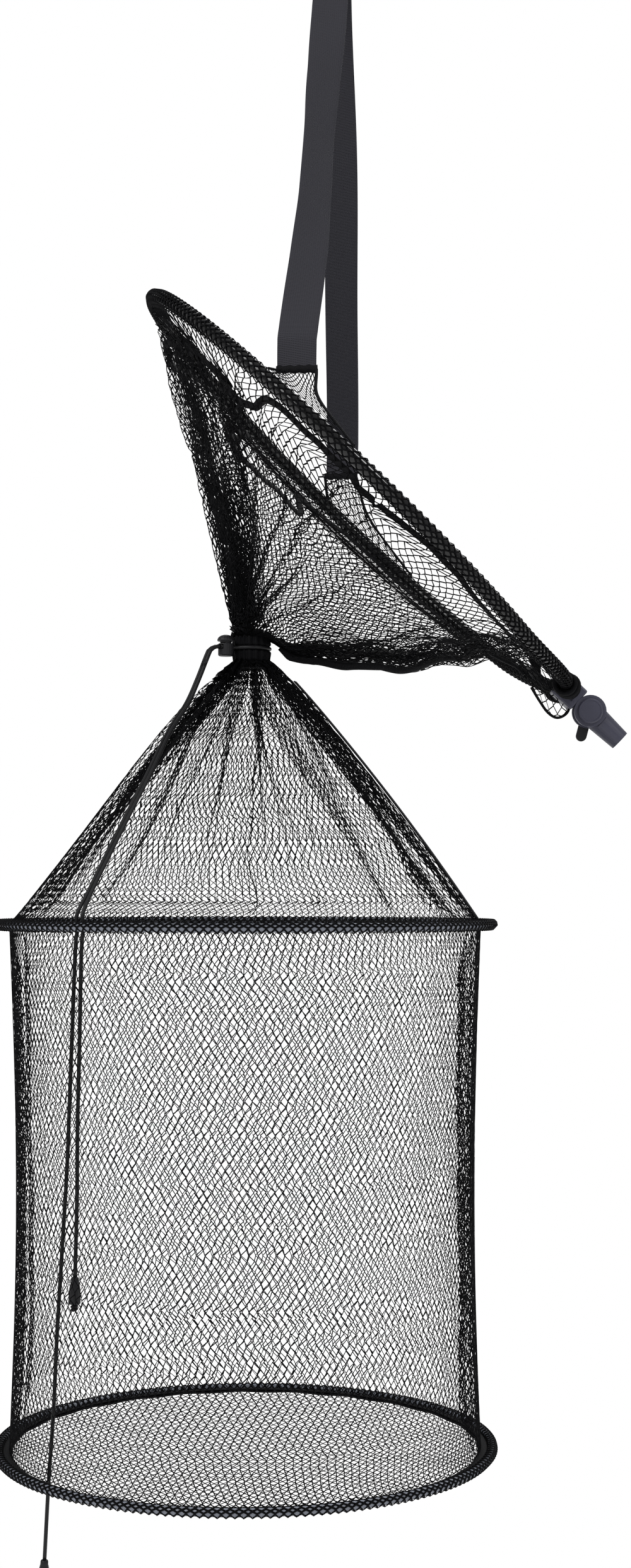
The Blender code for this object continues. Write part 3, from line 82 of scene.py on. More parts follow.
NET_END = 0.0009  # from a lower hoop's middle to the netting's end
LOCK_ANGLE = 37.0
LOCK_DISTANCE = 0.025
BARREL_RADIUS = 0.0062
GAP = 0.0003
NECK_BALL = 0.01675
MOUTH = math.radians(58.0)  # where the netting leaves the ball at the neck, from straight up
NECK_OUT = NECK_BALL * math.sin(MOUTH)
NECK_UP = NECK_BALL * math.cos(MOUTH)

# The photograph's camera, in pixels
FRAME_HEIGHT = 2486
FOCAL_LENGTH = 3458
HORIZON_BELOW_MIDDLE = 170
CAMERA_AT = (-0.0142, -1.75, -0.7377)
FLOOR_Z = -1.62

# How the funnel's netting hangs
YOKE_SHY = 0.0105  # how far it keeps back from the yoke
YOKE_SHY_ANGLE = 9.0
SLEEVE_SLIT = math.radians(247.5)  # where it leaves the sleeve, round the tube
SLEEVE_OUT = 0.0056
THROAT_RISE = 0.012
THROAT_OUT = 0.004
LOBE_SAG = 0.018  # of the slack lobe below the yoke
LOBE_BULGE = 0.016
LOBE_SHARES = (  # of its sag, by the share of the way down
    (0, 0),
    (0.10, 0.75),
    (0.2, 0.8),
    (0.34, 0.0),
    (0.55, -0.9),
    (0.72, -0.75),
    (0.87, -0.3),
    (1, 0),
)

# Half the rise of a mesh's slanted threads, as a share of a row
THREAD_RISE = 0.43

# The cords, and the points that the two free ones pass: beside the lock, down the shoulder as
# (degrees, share), past the middle hoop as (degrees, radius, height), and inside the body
CORD_SIZE = 0.003
CORD_OFF = 0.0031
TAIL_PITCH = 0.0036
CORD_ROOM = 0.0021  # from a cord's middle to the nearest thread
LEAD_END_Z = -0.5556
CORD_FREE = (
    (-0.0975, -0.0240, -0.5465),
    (-0.1005, -0.0262, -0.5535),
    (-0.1068, -0.0300, -0.5705),
    (-0.1150, -0.0380, -0.5905),
)
CORD_DOWN = (
    (-137.5, 0.303),
    (-132.9, 0.448),
    (-131.5, 0.597),
    (-130.9, 0.689),
    (-130.4, 0.780),
    (-129.8, 0.889),
)
CORD_IN = {
    "a": ((-128.6, 0.1850, -0.7540), (-128.5, 0.1850, -0.7600), (-128.5, 0.1850, -0.7650)),
    "b": ((-130.4, 0.1850, -0.7540), (-130.4, 0.1850, -0.7600), (-130.4, 0.1850, -0.7650)),
}
CORD_ROUTE = {
    "a": (
        (-0.1873, -0.1370, -0.7839),
        (-0.1889, -0.1350, -0.8507),
        (-0.1906, -0.1320, -0.9108),
        (-0.1914, -0.1290, -0.9660),
        (-0.1932, -0.1255, -1.0250),
    ),
    "b": (
        (-0.1921, -0.1330, -0.7800),
        (-0.1946, -0.1300, -0.8361),
        (-0.1972, -0.1270, -0.8963),
        (-0.1994, -0.1240, -0.9450),
        (-0.2046, -0.1180, -1.0204),
        (-0.2082, -0.1140, -1.0741),
        (-0.2110, -0.1105, -1.1278),
        (-0.2152, -0.1062, -1.1825),
        (-0.2186, -0.1042, -1.2420),
    ),
}


# Sizes and colours that a user would change


def length(name, default, about):
    """A length property in metres."""
    return bpy.props.FloatProperty(
        name=name, description=about, default=default, unit="LENGTH", precision=5
    )


def shade(name, default, about):
    """A colour property."""
    return bpy.props.FloatVectorProperty(
        name=name, description=about, default=default, subtype="COLOR", size=3, min=0, max=1
    )


class KeepNetSizes(bpy.types.PropertyGroup):
    """Sizes of the netting and the trim."""

    thread: length("Thread", 0.00066, "Width of the netting's thread")
    bar: length("Bar", 0.00084, "Width of the netting's upright bars")
    columns: bpy.props.IntProperty(name="Columns", description="Meshes round the lower net", default=197)
    funnel_columns: bpy.props.IntProperty(
        name="Funnel columns", description="Meshes round the funnel", default=208
    )
    tape_width: length("Tape width", 0.0052, "Width of the seam tapes")
    tape_wall: length("Tape wall", 0.0011, "Thickness of the seam tapes")
    web_width: length("Webbing width", 0.028, "Width of the strap's webbing")
    web_wall: length("Webbing wall", 0.0016, "Thickness of the strap's webbing")
    cord: length("Cord", CORD_SIZE, "Diameter of the cords")
    top_tube: length("Top tube", 0.005, "Radius of the top hoop's tube")
    ring_tube: length("Lower tube", 0.00325, "Radius of the lower hoops' tubes")


class KeepNetColours(bpy.types.PropertyGroup):
    """Colours of the netting, webbing and fittings."""

    net: shade("Netting", (0.0028, 0.0028, 0.0034), "Colour of the netting's thread")
    tape: shade("Tape", (0.0032, 0.0032, 0.0040), "Colour of the seam and edge tapes")
    web: shade("Webbing", (0.036, 0.0355, 0.042), "Colour of the strap's webbing")
    cord: shade("Cord", (0.0075, 0.0075, 0.0085), "Colour of the cords")
    top_tube: shade("Top tube", (0.003, 0.003, 0.0036), "Colour of the top hoop's tube")
    ring_tube: shade("Lower tube", (0.26, 0.28, 0.33), "Colour of the lower hoops' tubes")
    moulded: shade("Moulding", (0.058, 0.058, 0.088), "Colour of the angle lock's plastic")
    dark_moulded: shade("Dark moulding", (0.013, 0.013, 0.015), "Colour of the cord lock and the cord ends")
    brass: shade("Brass", (0.62, 0.45, 0.20), "Colour of the threaded insert")
    steel: shade("Steel", (0.50, 0.51, 0.53), "Colour of the bolt and the spring")
    floor: shade("Floor", (0.82, 0.82, 0.82), "Colour of the studio floor")


def sizes():
    """The sizes that the scene holds."""
    return bpy.context.scene.keep_net_sizes


def colours():
    """The colours that the scene holds."""
    return bpy.context.scene.keep_net_colours


# Shader nodes


def socket_group(name, inputs, outputs):
    """An empty shader node group with its sockets; it returns the group and its end nodes."""
    group = bpy.data.node_groups.new(name, "ShaderNodeTree")
    for label, kind, value in inputs:
        made = group.interface.new_socket(name=label, in_out="INPUT", socket_type=kind)
        if value is not None:
            made.default_value = value
    for label, kind in outputs:
        group.interface.new_socket(name=label, in_out="OUTPUT", socket_type=kind)
    return group, group.nodes.new("NodeGroupInput"), group.nodes.new("NodeGroupOutput")


def math_node(tree, operation, first, second=None, clamp=False):
    """A math node fed by sockets or numbers; it returns its output."""
    node = tree.nodes.new("ShaderNodeMath")
    node.operation = operation
    node.use_clamp = clamp
    for i, value in enumerate((first, second)):
        if value is None:
            continue
        if isinstance(value, bpy.types.NodeSocket):
            tree.links.new(value, node.inputs[i])
        else:
            node.inputs[i].default_value = value
    return node.outputs[0]


def woven_group():
    """Ribs across and along a band from its UV map in metres: a height and a mask."""
    found = bpy.data.node_groups.get("Woven band")
    if found:
        return found
    group, start, end = socket_group(
        "Woven band",
        (
            ("Vector", "NodeSocketVector", None),
            ("Across Pitch", "NodeSocketFloat", 0.001),
            ("Along Pitch", "NodeSocketFloat", 0.001),
            ("Slant", "NodeSocketFloat", 0.0),
        ),
        (("Height", "NodeSocketFloat"), ("Mask", "NodeSocketFloat")),
    )
    split = group.nodes.new("ShaderNodeSeparateXYZ")
    group.links.new(start.outputs["Vector"], split.inputs[0])
    lean = math_node(group, "MULTIPLY", split.outputs[0], start.outputs["Slant"])
    along = math_node(group, "ADD", split.outputs[1], lean)
    turns_along = math_node(group, "DIVIDE", along, start.outputs["Along Pitch"])
    turns_across = math_node(group, "DIVIDE", split.outputs[0], start.outputs["Across Pitch"])
    wave_along = math_node(group, "SINE", math_node(group, "MULTIPLY", turns_along, math.tau))
    wave_across = math_node(group, "SINE", math_node(group, "MULTIPLY", turns_across, math.tau))
    product = math_node(group, "MULTIPLY", wave_along, wave_across)
    ribs = math_node(group, "MULTIPLY", wave_along, 0.6)
    height = math_node(group, "ADD", ribs, math_node(group, "MULTIPLY", product, 0.4))
    group.links.new(height, end.inputs["Height"])
    mask = math_node(group, "MULTIPLY_ADD", height, 0.5)
    mask.node.inputs[2].default_value = 0.5
    mask.node.use_clamp = True
    group.links.new(mask, end.inputs["Mask"])
    return group


def grain_group():
    """A fine grain with soft blotches from object coordinates: a height and a mask."""
    found = bpy.data.node_groups.get("Fine grain")
    if found:
        return found
    group, start, end = socket_group(
        "Fine grain",
        (
            ("Vector", "NodeSocketVector", None),
            ("Grain Scale", "NodeSocketFloat", 900.0),
            ("Blotch Scale", "NodeSocketFloat", 40.0),
        ),
        (("Height", "NodeSocketFloat"), ("Mask", "NodeSocketFloat")),
    )
    grain = group.nodes.new("ShaderNodeTexNoise")
    blotch = group.nodes.new("ShaderNodeTexNoise")
    for node, scale in ((grain, "Grain Scale"), (blotch, "Blotch Scale")):
        group.links.new(start.outputs["Vector"], node.inputs["Vector"])
        group.links.new(start.outputs[scale], node.inputs["Scale"])
        node.inputs["Detail"].default_value = 3
    group.links.new(grain.outputs["Fac"], end.inputs["Height"])
    both = math_node(group, "MULTIPLY", grain.outputs["Fac"], 0.4)
    wide = math_node(group, "MULTIPLY", blotch.outputs["Fac"], 0.6)
    group.links.new(math_node(group, "ADD", both, wide), end.inputs["Mask"])
    return group


def colour_mix(tree, mask, dark, light):
    """A colour between two by a mask."""
    node = tree.nodes.new("ShaderNodeMix")
    node.data_type = "RGBA"
    tree.links.new(mask, node.inputs[0])
    node.inputs[6].default_value = (*dark, 1)
    node.inputs[7].default_value = (*light, 1)
    return node.outputs[2]


def range_map(tree, mask, low, high):
    """A mask stretched to a range of values."""
    node = tree.nodes.new("ShaderNodeMapRange")
    tree.links.new(mask, node.inputs["Value"])
    node.inputs["From Min"].default_value = 0.25
    node.inputs["From Max"].default_value = 0.75
    node.inputs["To Min"].default_value = low
    node.inputs["To Max"].default_value = high
    return node.outputs["Result"]


def finish(
    name, colour, rough, lift=1.8, bump=0.2, depth=0.0002, group=None, values=(), coords="Object", **sockets
):
    """A Principled material whose colour, roughness and bump come from a shared group."""
    found = bpy.data.materials.get(name)
    if found:
        return found
    made = bpy.data.materials.new(name)
    made.use_nodes = True
    tree = made.node_tree
    shader = tree.nodes["Principled BSDF"]
    where = tree.nodes.new("ShaderNodeTexCoord")
    grain = tree.nodes.new("ShaderNodeGroup")
    grain.node_tree = group or grain_group()
    tree.links.new(where.outputs[coords], grain.inputs["Vector"])
    for label, value in values:
        grain.inputs[label].default_value = value
    light = [min(1.0, c * lift) for c in colour]
    tree.links.new(colour_mix(tree, grain.outputs["Mask"], colour, light), shader.inputs["Base Color"])
    tree.links.new(range_map(tree, grain.outputs["Mask"], *rough), shader.inputs["Roughness"])
    relief = tree.nodes.new("ShaderNodeBump")
    relief.inputs["Strength"].default_value = bump
    relief.inputs["Distance"].default_value = depth
    tree.links.new(grain.outputs["Height"], relief.inputs["Height"])
    tree.links.new(relief.outputs["Normal"], shader.inputs["Normal"])
    for label, value in sockets.items():
        shader.inputs[label.replace("_", " ")].default_value = value
    made.diffuse_color = (*colour, 1)
    return made


def net_finish():
    """Matt polyester netting."""
    return finish("black_netting", colours().net, (0.6, 0.8), 2.2, 0.25, Specular_IOR_Level=0.1)


def tape_finish():
    """Woven black tape."""
    return finish(
        "woven_tape",
        colours().tape,
        (0.55, 0.8),
        2.4,
        0.5,
        0.0003,
        woven_group(),
        (("Across Pitch", 0.0009), ("Along Pitch", 0.0011), ("Slant", 0.6)),
        "UV",
        Specular_IOR_Level=0.15,
    )


def web_finish():
    """Ribbed charcoal webbing."""
    return finish(
        "ribbed_webbing",
        colours().web,
        (0.6, 0.8),
        1.9,
        0.6,
        0.0003,
        woven_group(),
        (("Across Pitch", 0.0016), ("Along Pitch", 0.00125), ("Slant", 0.12)),
        "UV",
        Specular_IOR_Level=0.07,
    )


def cord_finish():
    """Glossy braided cord."""
    return finish(
        "braided_cord",
        colours().cord,
        (0.38, 0.5),
        1.6,
        0.2,
        0.0001,
        woven_group(),
        (("Across Pitch", 0.000785), ("Along Pitch", 0.0011), ("Slant", 0.5)),
        "UV",
        Specular_IOR_Level=0.3,
    )


def moulded_finish():
    """The angle lock's charcoal plastic."""
    return finish("angle_lock_plastic", colours().moulded, (0.38, 0.5), 1.25, 0.15, 0.0001)


def dark_finish():
    """The cord lock's black plastic."""
    colour = colours().dark_moulded
    return finish("cord_lock_plastic", colour, (0.36, 0.48), 1.5, 0.12, 0.0001, Specular_IOR_Level=0.35)


# Meshes from numbers


def mesh_object(name, points, faces, uv=None):
    """A smooth mesh object from an array of points and lists of equal-sided faces."""
    mesh = bpy.data.meshes.new(name)
    points = np.asarray(points, np.float32)
    mesh.vertices.add(len(points))
    mesh.vertices.foreach_set("co", points.ravel())
    loops = np.concatenate([np.asarray(f, np.int32).ravel() for f in faces if len(f)])
    totals = np.concatenate([np.full(len(f), np.asarray(f).shape[1], np.int32) for f in faces if len(f)])
    starts = np.concatenate(([0], np.cumsum(totals)[:-1])).astype(np.int32)
    mesh.loops.add(len(loops))
    mesh.loops.foreach_set("vertex_index", loops)
    mesh.polygons.add(len(totals))
    mesh.polygons.foreach_set("loop_start", starts)
    mesh.polygons.foreach_set("loop_total", totals)
    mesh.update(calc_edges=True)
    mesh.validate()
    if uv is not None:
        layer = mesh.uv_layers.new(name="UVMap")
        layer.data.foreach_set("uv", np.asarray(uv, np.float32).ravel())
    mesh.shade_smooth()
    ob = bpy.data.objects.new(name, mesh)
    bpy.context.scene.collection.objects.link(ob)
    return ob


def unit(vectors):
    """Vectors made one long."""
    return vectors / np.maximum(np.linalg.norm(vectors, axis=-1, keepdims=True), 1e-12)


def carried(path, across, out, profile, cyclic=False):
    """A profile of (across, out) carried along a path: its points, its side faces and its ends."""
    count, ring = len(path), len(profile)
    points = (
        path[:, None]
        + across[:, None] * profile[None, :, :1]
        + out[:, None] * profile[None, :, 1:]
    ).reshape(-1, 3)
    rows = np.arange(count if cyclic else count - 1)[:, None]
    cols = np.arange(ring)[None, :]
    after_r, after_c = (rows + 1) % count, (cols + 1) % ring
    quads = np.stack(
        (rows * ring + cols, rows * ring + after_c, after_r * ring + after_c, after_r * ring + cols), -1
    ).reshape(-1, 4)
    caps = np.array([np.arange(ring)[::-1], (count - 1) * ring + np.arange(ring)])
    return points, quads, caps


def swept(name, path, across, out, profile, cyclic=False, material=None):
    """A band or a tube: a profile carried along a path, closed at its ends, with its UV map in metres."""
    path, across, out, profile = (np.asarray(a, float) for a in (path, across, out, profile))
    points, quads, caps = carried(path, across, out, profile, cyclic)
    steps = np.linalg.norm(np.diff(path, axis=0, append=path[:1]), axis=1)
    along = np.concatenate(([0], np.cumsum(steps)))
    edge = np.concatenate((profile, profile[:1]))
    around = np.concatenate(([0], np.cumsum(np.linalg.norm(np.diff(edge, axis=0), axis=1))))
    cols = np.arange(len(profile))[None, :]
    rows = np.arange(len(quads) // len(profile))[:, None]
    u0, u1, v0, v1 = np.broadcast_arrays(around[cols], around[cols + 1], along[rows], along[rows + 1])
    uv = np.stack((u0, v0, u1, v0, u1, v1, u0, v1), -1).reshape(-1, 2)
    faces = [quads]
    if not cyclic:
        faces.append(caps)
        uv = np.concatenate((uv, profile[::-1], profile))
    if signed_volume(points, faces) < 0:
        faces = [f[:, ::-1] for f in faces]
        sides = uv[: len(quads) * 4].reshape(-1, 4, 2)[:, ::-1].reshape(-1, 2)
        uv = np.concatenate((sides, uv[len(quads) * 4 :]))
    ob = mesh_object(name, points, faces, uv)
    if material:
        ob.data.materials.append(material)
    return ob


def signed_volume(points, faces):
    """The volume that lists of equal-sided faces enclose, negative where they face inwards."""
    total = 0
    for corners in faces:
        for i in range(1, corners.shape[1] - 1):
            a, b, c = (points[corners[:, k]] for k in (0, i, i + 1))
            total += np.einsum("ij,ij->", a, np.cross(b, c))
    return total / 6


def round_profile(radius, sides):
    """A circle's corners."""
    turn = np.arange(sides) * math.tau / sides
    return np.stack((np.cos(turn), np.sin(turn)), -1) * radius


def band_profile(width, wall, steps=4):
    """A flat band's rounded outline."""
    half, edge = width / 2 - wall / 2, wall / 2
    turn = np.linspace(-math.pi / 2, math.pi / 2, steps)
    right = np.stack((half + edge * np.cos(turn), edge * np.sin(turn)), -1)
    return np.concatenate((right, -right))


def smooth_route(points, spacing):
    """Points at an even spacing on a smooth curve through a route's own points."""
    route = np.asarray(points, float)
    ends = np.concatenate(([2 * route[0] - route[1]], route, [2 * route[-1] - route[-2]]))
    t = (np.arange(12) / 12)[:, None]
    fine = []
    for a, b, c, d in zip(ends, ends[1:], ends[2:], ends[3:]):
        square, cube = 2 * a - 5 * b + 4 * c - d, 3 * b - a - 3 * c + d
        fine.append((2 * b + (c - a) * t + square * t**2 + cube * t**3) / 2)
    fine = np.concatenate(fine + [route[-1:]])
    reach = np.concatenate(([0], np.cumsum(np.linalg.norm(np.diff(fine, axis=0), axis=1))))
    count = max(2, round(reach[-1] / spacing))
    want = np.linspace(0, reach[-1], count + 1)
    return np.stack([np.interp(want, reach, fine[:, i]) for i in range(3)], -1)


def frames_along(path, cyclic=False):
    """Two directions square to a path that turn as little as they can along it."""
    if cyclic:
        ahead = unit(np.roll(path, -1, axis=0) - np.roll(path, 1, axis=0))
    else:
        ahead = unit(np.gradient(path, axis=0))
    side = np.cross(ahead[0], (0, 0, 1.0) if abs(ahead[0][2]) < 0.9 else (1.0, 0, 0))
    across = []
    for way in ahead:
        side = side - way * np.dot(side, way)
        side = side / np.linalg.norm(side)
        across.append(side)
    across = np.array(across)
    return across, np.cross(ahead, across)


def tube(name, path, radius, sides=12, cyclic=False, material=None):
    """A round tube along a path."""
    across, out = frames_along(np.asarray(path), cyclic)
    return swept(name, path, across, out, round_profile(radius, sides), cyclic, material)


def closed_rings(name, rings, ends, material):
    """Rings of points joined into one skin and closed to a point in the middle of each end."""
    steps, last = len(rings[0]), (len(rings) - 1) * len(rings[0])
    points = np.concatenate(rings + [[end] for end in ends])
    here, after = np.arange(steps), (np.arange(steps) + 1) % steps
    row = np.arange(len(rings) - 1)[:, None] * steps
    quads = np.stack((row + here, row + after, row + steps + after, row + steps + here), -1)
    quads = quads.reshape(-1, 4)
    first_end, last_end = np.full(steps, len(points) - 2), np.full(steps, len(points) - 1)
    tris = np.concatenate(
        (np.stack((first_end, after, here), -1), np.stack((last_end, last + here, last + after), -1))
    )
    if signed_volume(points, [quads, tris]) < 0:
        quads, tris = quads[:, (0, 3, 2, 1)], tris[:, (0, 2, 1)]
    ob = mesh_object(name, points, [quads, tris])
    ob.data.materials.append(material)
    return ob


def seam_tape(name, path, above, widened=1.0):
    """A sewn tape along a path, lying square to the way to the points above it."""
    ahead = unit(np.gradient(path, axis=0))
    across = unit(np.cross(ahead, unit(above - path)))
    profile = band_profile(sizes().tape_width * widened, sizes().tape_wall)
    return swept(name, path, across, np.cross(across, ahead), profile, material=tape_finish())


def ring_tape(name, radius, height, size, ripple=0.0):
    """A tape round the inside of a lower hoop."""
    turn = np.arange(360) * math.tau / 360
    around = np.stack((np.cos(turn), np.sin(turn), 0 * turn), -1)
    lift = np.tile((0, 0, 1.0), (360, 1))
    path = around * radius + (NET_X, 0, height) + lift * (ripple * np.sin(24 * turn)[:, None])
    return swept(name, path, around, lift, band_profile(*size), True, tape_finish())


# Netting


def netting(
    name, place, columns, rows, first=0, last=None, around=True, keep=None, thin=1.0, shift=None
):
    """Hexagon netting over a surface, as one closed mesh of three-sided threads.

    place maps arrays of u, round the surface, and v, down it, to points. The piece holds the zigzag
    rows from first to last, and the upright bars below them.
    """
    last = rows if last is None else last
    whole = last >= rows
    levels = np.arange(first, min(last, rows) + 1)
    knots = np.arange(2 * columns if around else 2 * columns + 1)
    r, k = np.meshgrid(levels, knots, indexing="ij")
    down = (r + k) % 2 == 0
    v = np.clip((r + np.where(down, THREAD_RISE, -THREAD_RISE)) / rows, 0, 1)
    u = k / (2 * columns)
    du, dv = 0.25 / columns, 0.25 / rows
    at = place(u, v)
    step_u = (place(u + du, v) - place(u - du, v)) / (2 * du * columns)
    high, low = np.clip(v + dv, 0, 1), np.clip(v - dv, 0, 1)
    step_v = (place(u, high) - place(u, low)) / ((high - low) * rows)[..., None]
    pitch = np.linalg.norm(step_u, axis=-1)
    row = np.linalg.norm(step_v, axis=-1)
    right, under = unit(step_u), unit(step_v)
    out = unit(np.cross(under, right))
    bunched = np.clip((0.0026 - pitch) / 0.0014, 0, 1)
    half = np.minimum(sizes().thread * thin / 2, (0.22 + 0.2 * bunched) * np.minimum(pitch, row))
    bar = np.minimum(sizes().bar * thin / 2, (0.24 + 0.2 * bunched) * pitch)
    lean = np.arctan2(2 * THREAD_RISE * row, pitch / 2)
    flip = np.where(down, 1.0, -1.0)
    foot = half * (1 - np.sin(lean)) / np.cos(lean) + (bar - half) * 0.4
    top = half / np.cos(lean)

    def corner(x, y, n):
        return at + right * x[..., None] + under * (y * flip)[..., None] + out * n[..., None]

    points = np.stack(
        (
            corner(0 * half, 0 * half, half * 0.9),
            corner(-bar, foot, -half * 0.5),
            corner(bar, foot, -half * 0.5),
            corner(0 * half, -top, -half * 0.5),
        ),
        2,
    )
    if shift is not None:
        points = shift(points.reshape(-1, 3)).reshape(points.shape)
    index = np.arange(points.shape[0] * points.shape[1] * 4).reshape(points.shape[:3])
    kept = np.ones(down.shape, bool) if keep is None else keep(u, v)
    after = np.roll(np.arange(index.shape[1]), -1)
    strand = kept & kept[:, after]
    if not around:
        strand[:, -1] = False
    if not whole:
        strand[-1] = False
    upright = down[:-1] & kept[:-1] & kept[1:]
    apex, a, b, c = (index[..., i] for i in range(4))
    upper = np.where(down, c, b)
    lower = np.where(down, b, c)
    left_upper = np.where(down, c, a)
    left_lower = np.where(down, a, c)
    high, low, ridge = upper[strand], lower[strand], apex[strand]
    next_high, next_low, next_ridge = (x[:, after][strand] for x in (left_upper, left_lower, apex))
    slanted = [
        (high, next_high, next_low, low),
        (high, ridge, next_ridge, next_high),
        (ridge, low, next_low, next_ridge),
    ]
    left, right, ridge = (x[:-1][upright] for x in (a, b, apex))
    foot_left, foot_right, foot_ridge = (x[1:][upright] for x in (a, b, apex))
    bars = [
        (left, right, foot_right, foot_left),
        (left, foot_left, foot_ridge, ridge),
        (ridge, foot_ridge, foot_right, right),
    ]
    quads = np.concatenate([np.stack(side, -1) for side in slanted + bars])
    before = np.roll(np.arange(index.shape[1]), 1)
    has_right, has_left = strand, strand[:, before]
    if not around:
        has_left = has_left.copy()
        has_left[:, 0] = False
    has_up = np.zeros(down.shape, bool)
    has_up[:-1] |= upright
    has_up[1:] |= upright
    used = has_right | has_left | has_up
    tris = [
        np.where(down[..., None], np.stack((a, c, b), -1), np.stack((a, b, c), -1))[used],
        np.stack((lower, upper, apex), -1)[used & ~has_right],
        np.stack((left_upper, left_lower, apex), -1)[used & ~has_left],
        np.where(down[..., None], np.stack((a, b, apex), -1), np.stack((b, a, apex), -1))[used & ~has_up],
    ]
    tris = np.concatenate(tris)
    live = np.unique(np.concatenate((quads.ravel(), tris.ravel())))
    renumber = np.zeros(index.size, np.int64)
    renumber[live] = np.arange(len(live))
    ob = mesh_object(name, points.reshape(-1, 3)[live], [renumber[quads], renumber[tris]])
    ob.data.materials.append(net_finish())
    return ob


def parted(routes, room):
    """A shift that keeps netting threads a little off the cords that pass them."""

    def shift(points):
        moved = points.copy()
        for route in routes:
            for start, end in zip(route, route[1:]):
                way = end - start
                t = np.clip(((moved - start) @ way) / np.dot(way, way), 0, 1)
                off = moved - (start + t[:, None] * way)
                gap = np.linalg.norm(off, axis=1)
                near = gap < room
                moved[near] += unit(off[near]) * (room - gap[near])[:, None]
        return moved

    return shift


# The net's surfaces, as the frame has them


def matrix_of(angles, at):
    """A matrix from angles in degrees and a place."""
    return Matrix.Translation(at) @ Euler([math.radians(a) for a in angles]).to_matrix().to_4x4()


HOOP = np.array(matrix_of(HOOP_TURN, HOOP_CENTRE))
STRAP = np.array(matrix_of((0, 0, STRAP_SKEW), STRAP_END))


def placed(matrix, points):
    """Points of a frame in the world."""
    return np.asarray(points) @ matrix[:3, :3].T + matrix[:3, 3]


def hoop_place(turn, out=0.0, up=0.0):
    """World points round the top hoop, at angles in radians from the angle lock."""
    radius = HOOP_RADIUS + out
    beside = np.abs((np.degrees(turn) + 180) % 360 - 180)
    sag = HOOP_SAG * table(((12, 0), (42, 1), (95, 1), (180, 0.4)), np.clip(beside, 12, 179.9))
    local = np.stack(np.broadcast_arrays(radius * np.cos(turn), radius * np.sin(turn), up - sag), -1)
    return placed(HOOP, local)


def table(shares, at):
    """Read smooth values from a table of (place, share)."""
    x = np.array([s[0] for s in shares])
    y = np.array([s[1] for s in shares])
    i = np.clip(np.searchsorted(x, at, side="right") - 1, 0, len(x) - 2)
    t = np.clip((at - x[i]) / (x[i + 1] - x[i]), 0, 1)
    return y[i] + (y[i + 1] - y[i]) * t * t * (3 - 2 * t)


def waves(turn, seed, counts):
    """A sum of waves round a circle, with fixed phases."""
    rng = np.random.default_rng(seed)
    total = 0
    for count in counts:
        total = total + np.sin(count * turn + rng.uniform(0, math.tau)) * rng.uniform(0.5, 1)
    return total / max(1, len(counts)) * 1.6


def funnel_place(turn, v, fold=0.0):
    """World points of the funnel netting: v 0 at the top hoop and 1 at the neck, a fold going in."""
    degrees = np.degrees(turn) % 360
    shy = YOKE_SHY * np.clip(1 - np.minimum(degrees, 360 - degrees) / YOKE_SHY_ANGLE, 0, 1)
    out, up = SLEEVE_OUT * math.cos(SLEEVE_SLIT), SLEEVE_OUT * math.sin(SLEEVE_SLIT)
    start = hoop_place(turn, out - shy, up - shy)
    around = np.stack((np.cos(turn), np.sin(turn), 0 * turn), -1)
    lift = np.array((0, 0, 1.0))
    end = NECK + around * NECK_OUT + lift * NECK_UP
    throat = end + lift * THROAT_RISE + around * THROAT_OUT
    s = v[..., None]
    half = (start + throat) / 2
    curve = start * (1 - s) ** 2 + half * 2 * s * (1 - s) + throat * s**2
    blend = s**6
    at = (start + (end - start) * s) * blend + curve * (1 - blend)
    right = np.maximum(0, np.cos(turn)) ** 2
    at = at + lift * (LOBE_SAG * right * table(LOBE_SHARES, v))[..., None]
    bulge = LOBE_BULGE * right * np.clip((v - 0.6) / 0.25, 0, 1) * np.clip((1 - v) / 0.07, 0, 1)
    wave = 0.005 * np.sin(math.pi * v) ** 2 * np.sin(10 * turn)
    crease = waves(turn + 0.6 * v, 8, (17, 23, 31)) * 0.0012 * np.sin(math.pi * v)
    outward = around * 0.7 + lift * 0.3
    inward = outward * (1 - right[..., None]) - lift * right[..., None]
    at = at - inward * np.asarray(fold + 0 * v)[..., None]
    return at + outward * (wave + crease)[..., None] - lift * bulge[..., None]


def pleats(turn, folds, seed):
    """Uneven pleats round the net, from 0 on the outside to 1 at the bottom of a fold."""
    rng = np.random.default_rng(seed)
    warp = turn
    for count in (2, 3, 5, 8):
        warp = warp + 0.5 / count / folds * 4 * np.sin(count * turn + rng.uniform(0, math.tau))
    wide = 0.5 - 0.5 * np.cos(folds * warp + rng.uniform(0, math.tau))
    fine = 0.5 - 0.5 * np.cos(2.4 * folds * warp + rng.uniform(0, math.tau))
    broad = np.sin(3 * turn + rng.uniform(0, math.tau))
    depth = 0.72 + 0.28 * broad * np.sin(4 * turn + rng.uniform(0, math.tau))
    return np.clip((0.78 * wide**0.85 + 0.22 * fine) * depth, 0, 1)


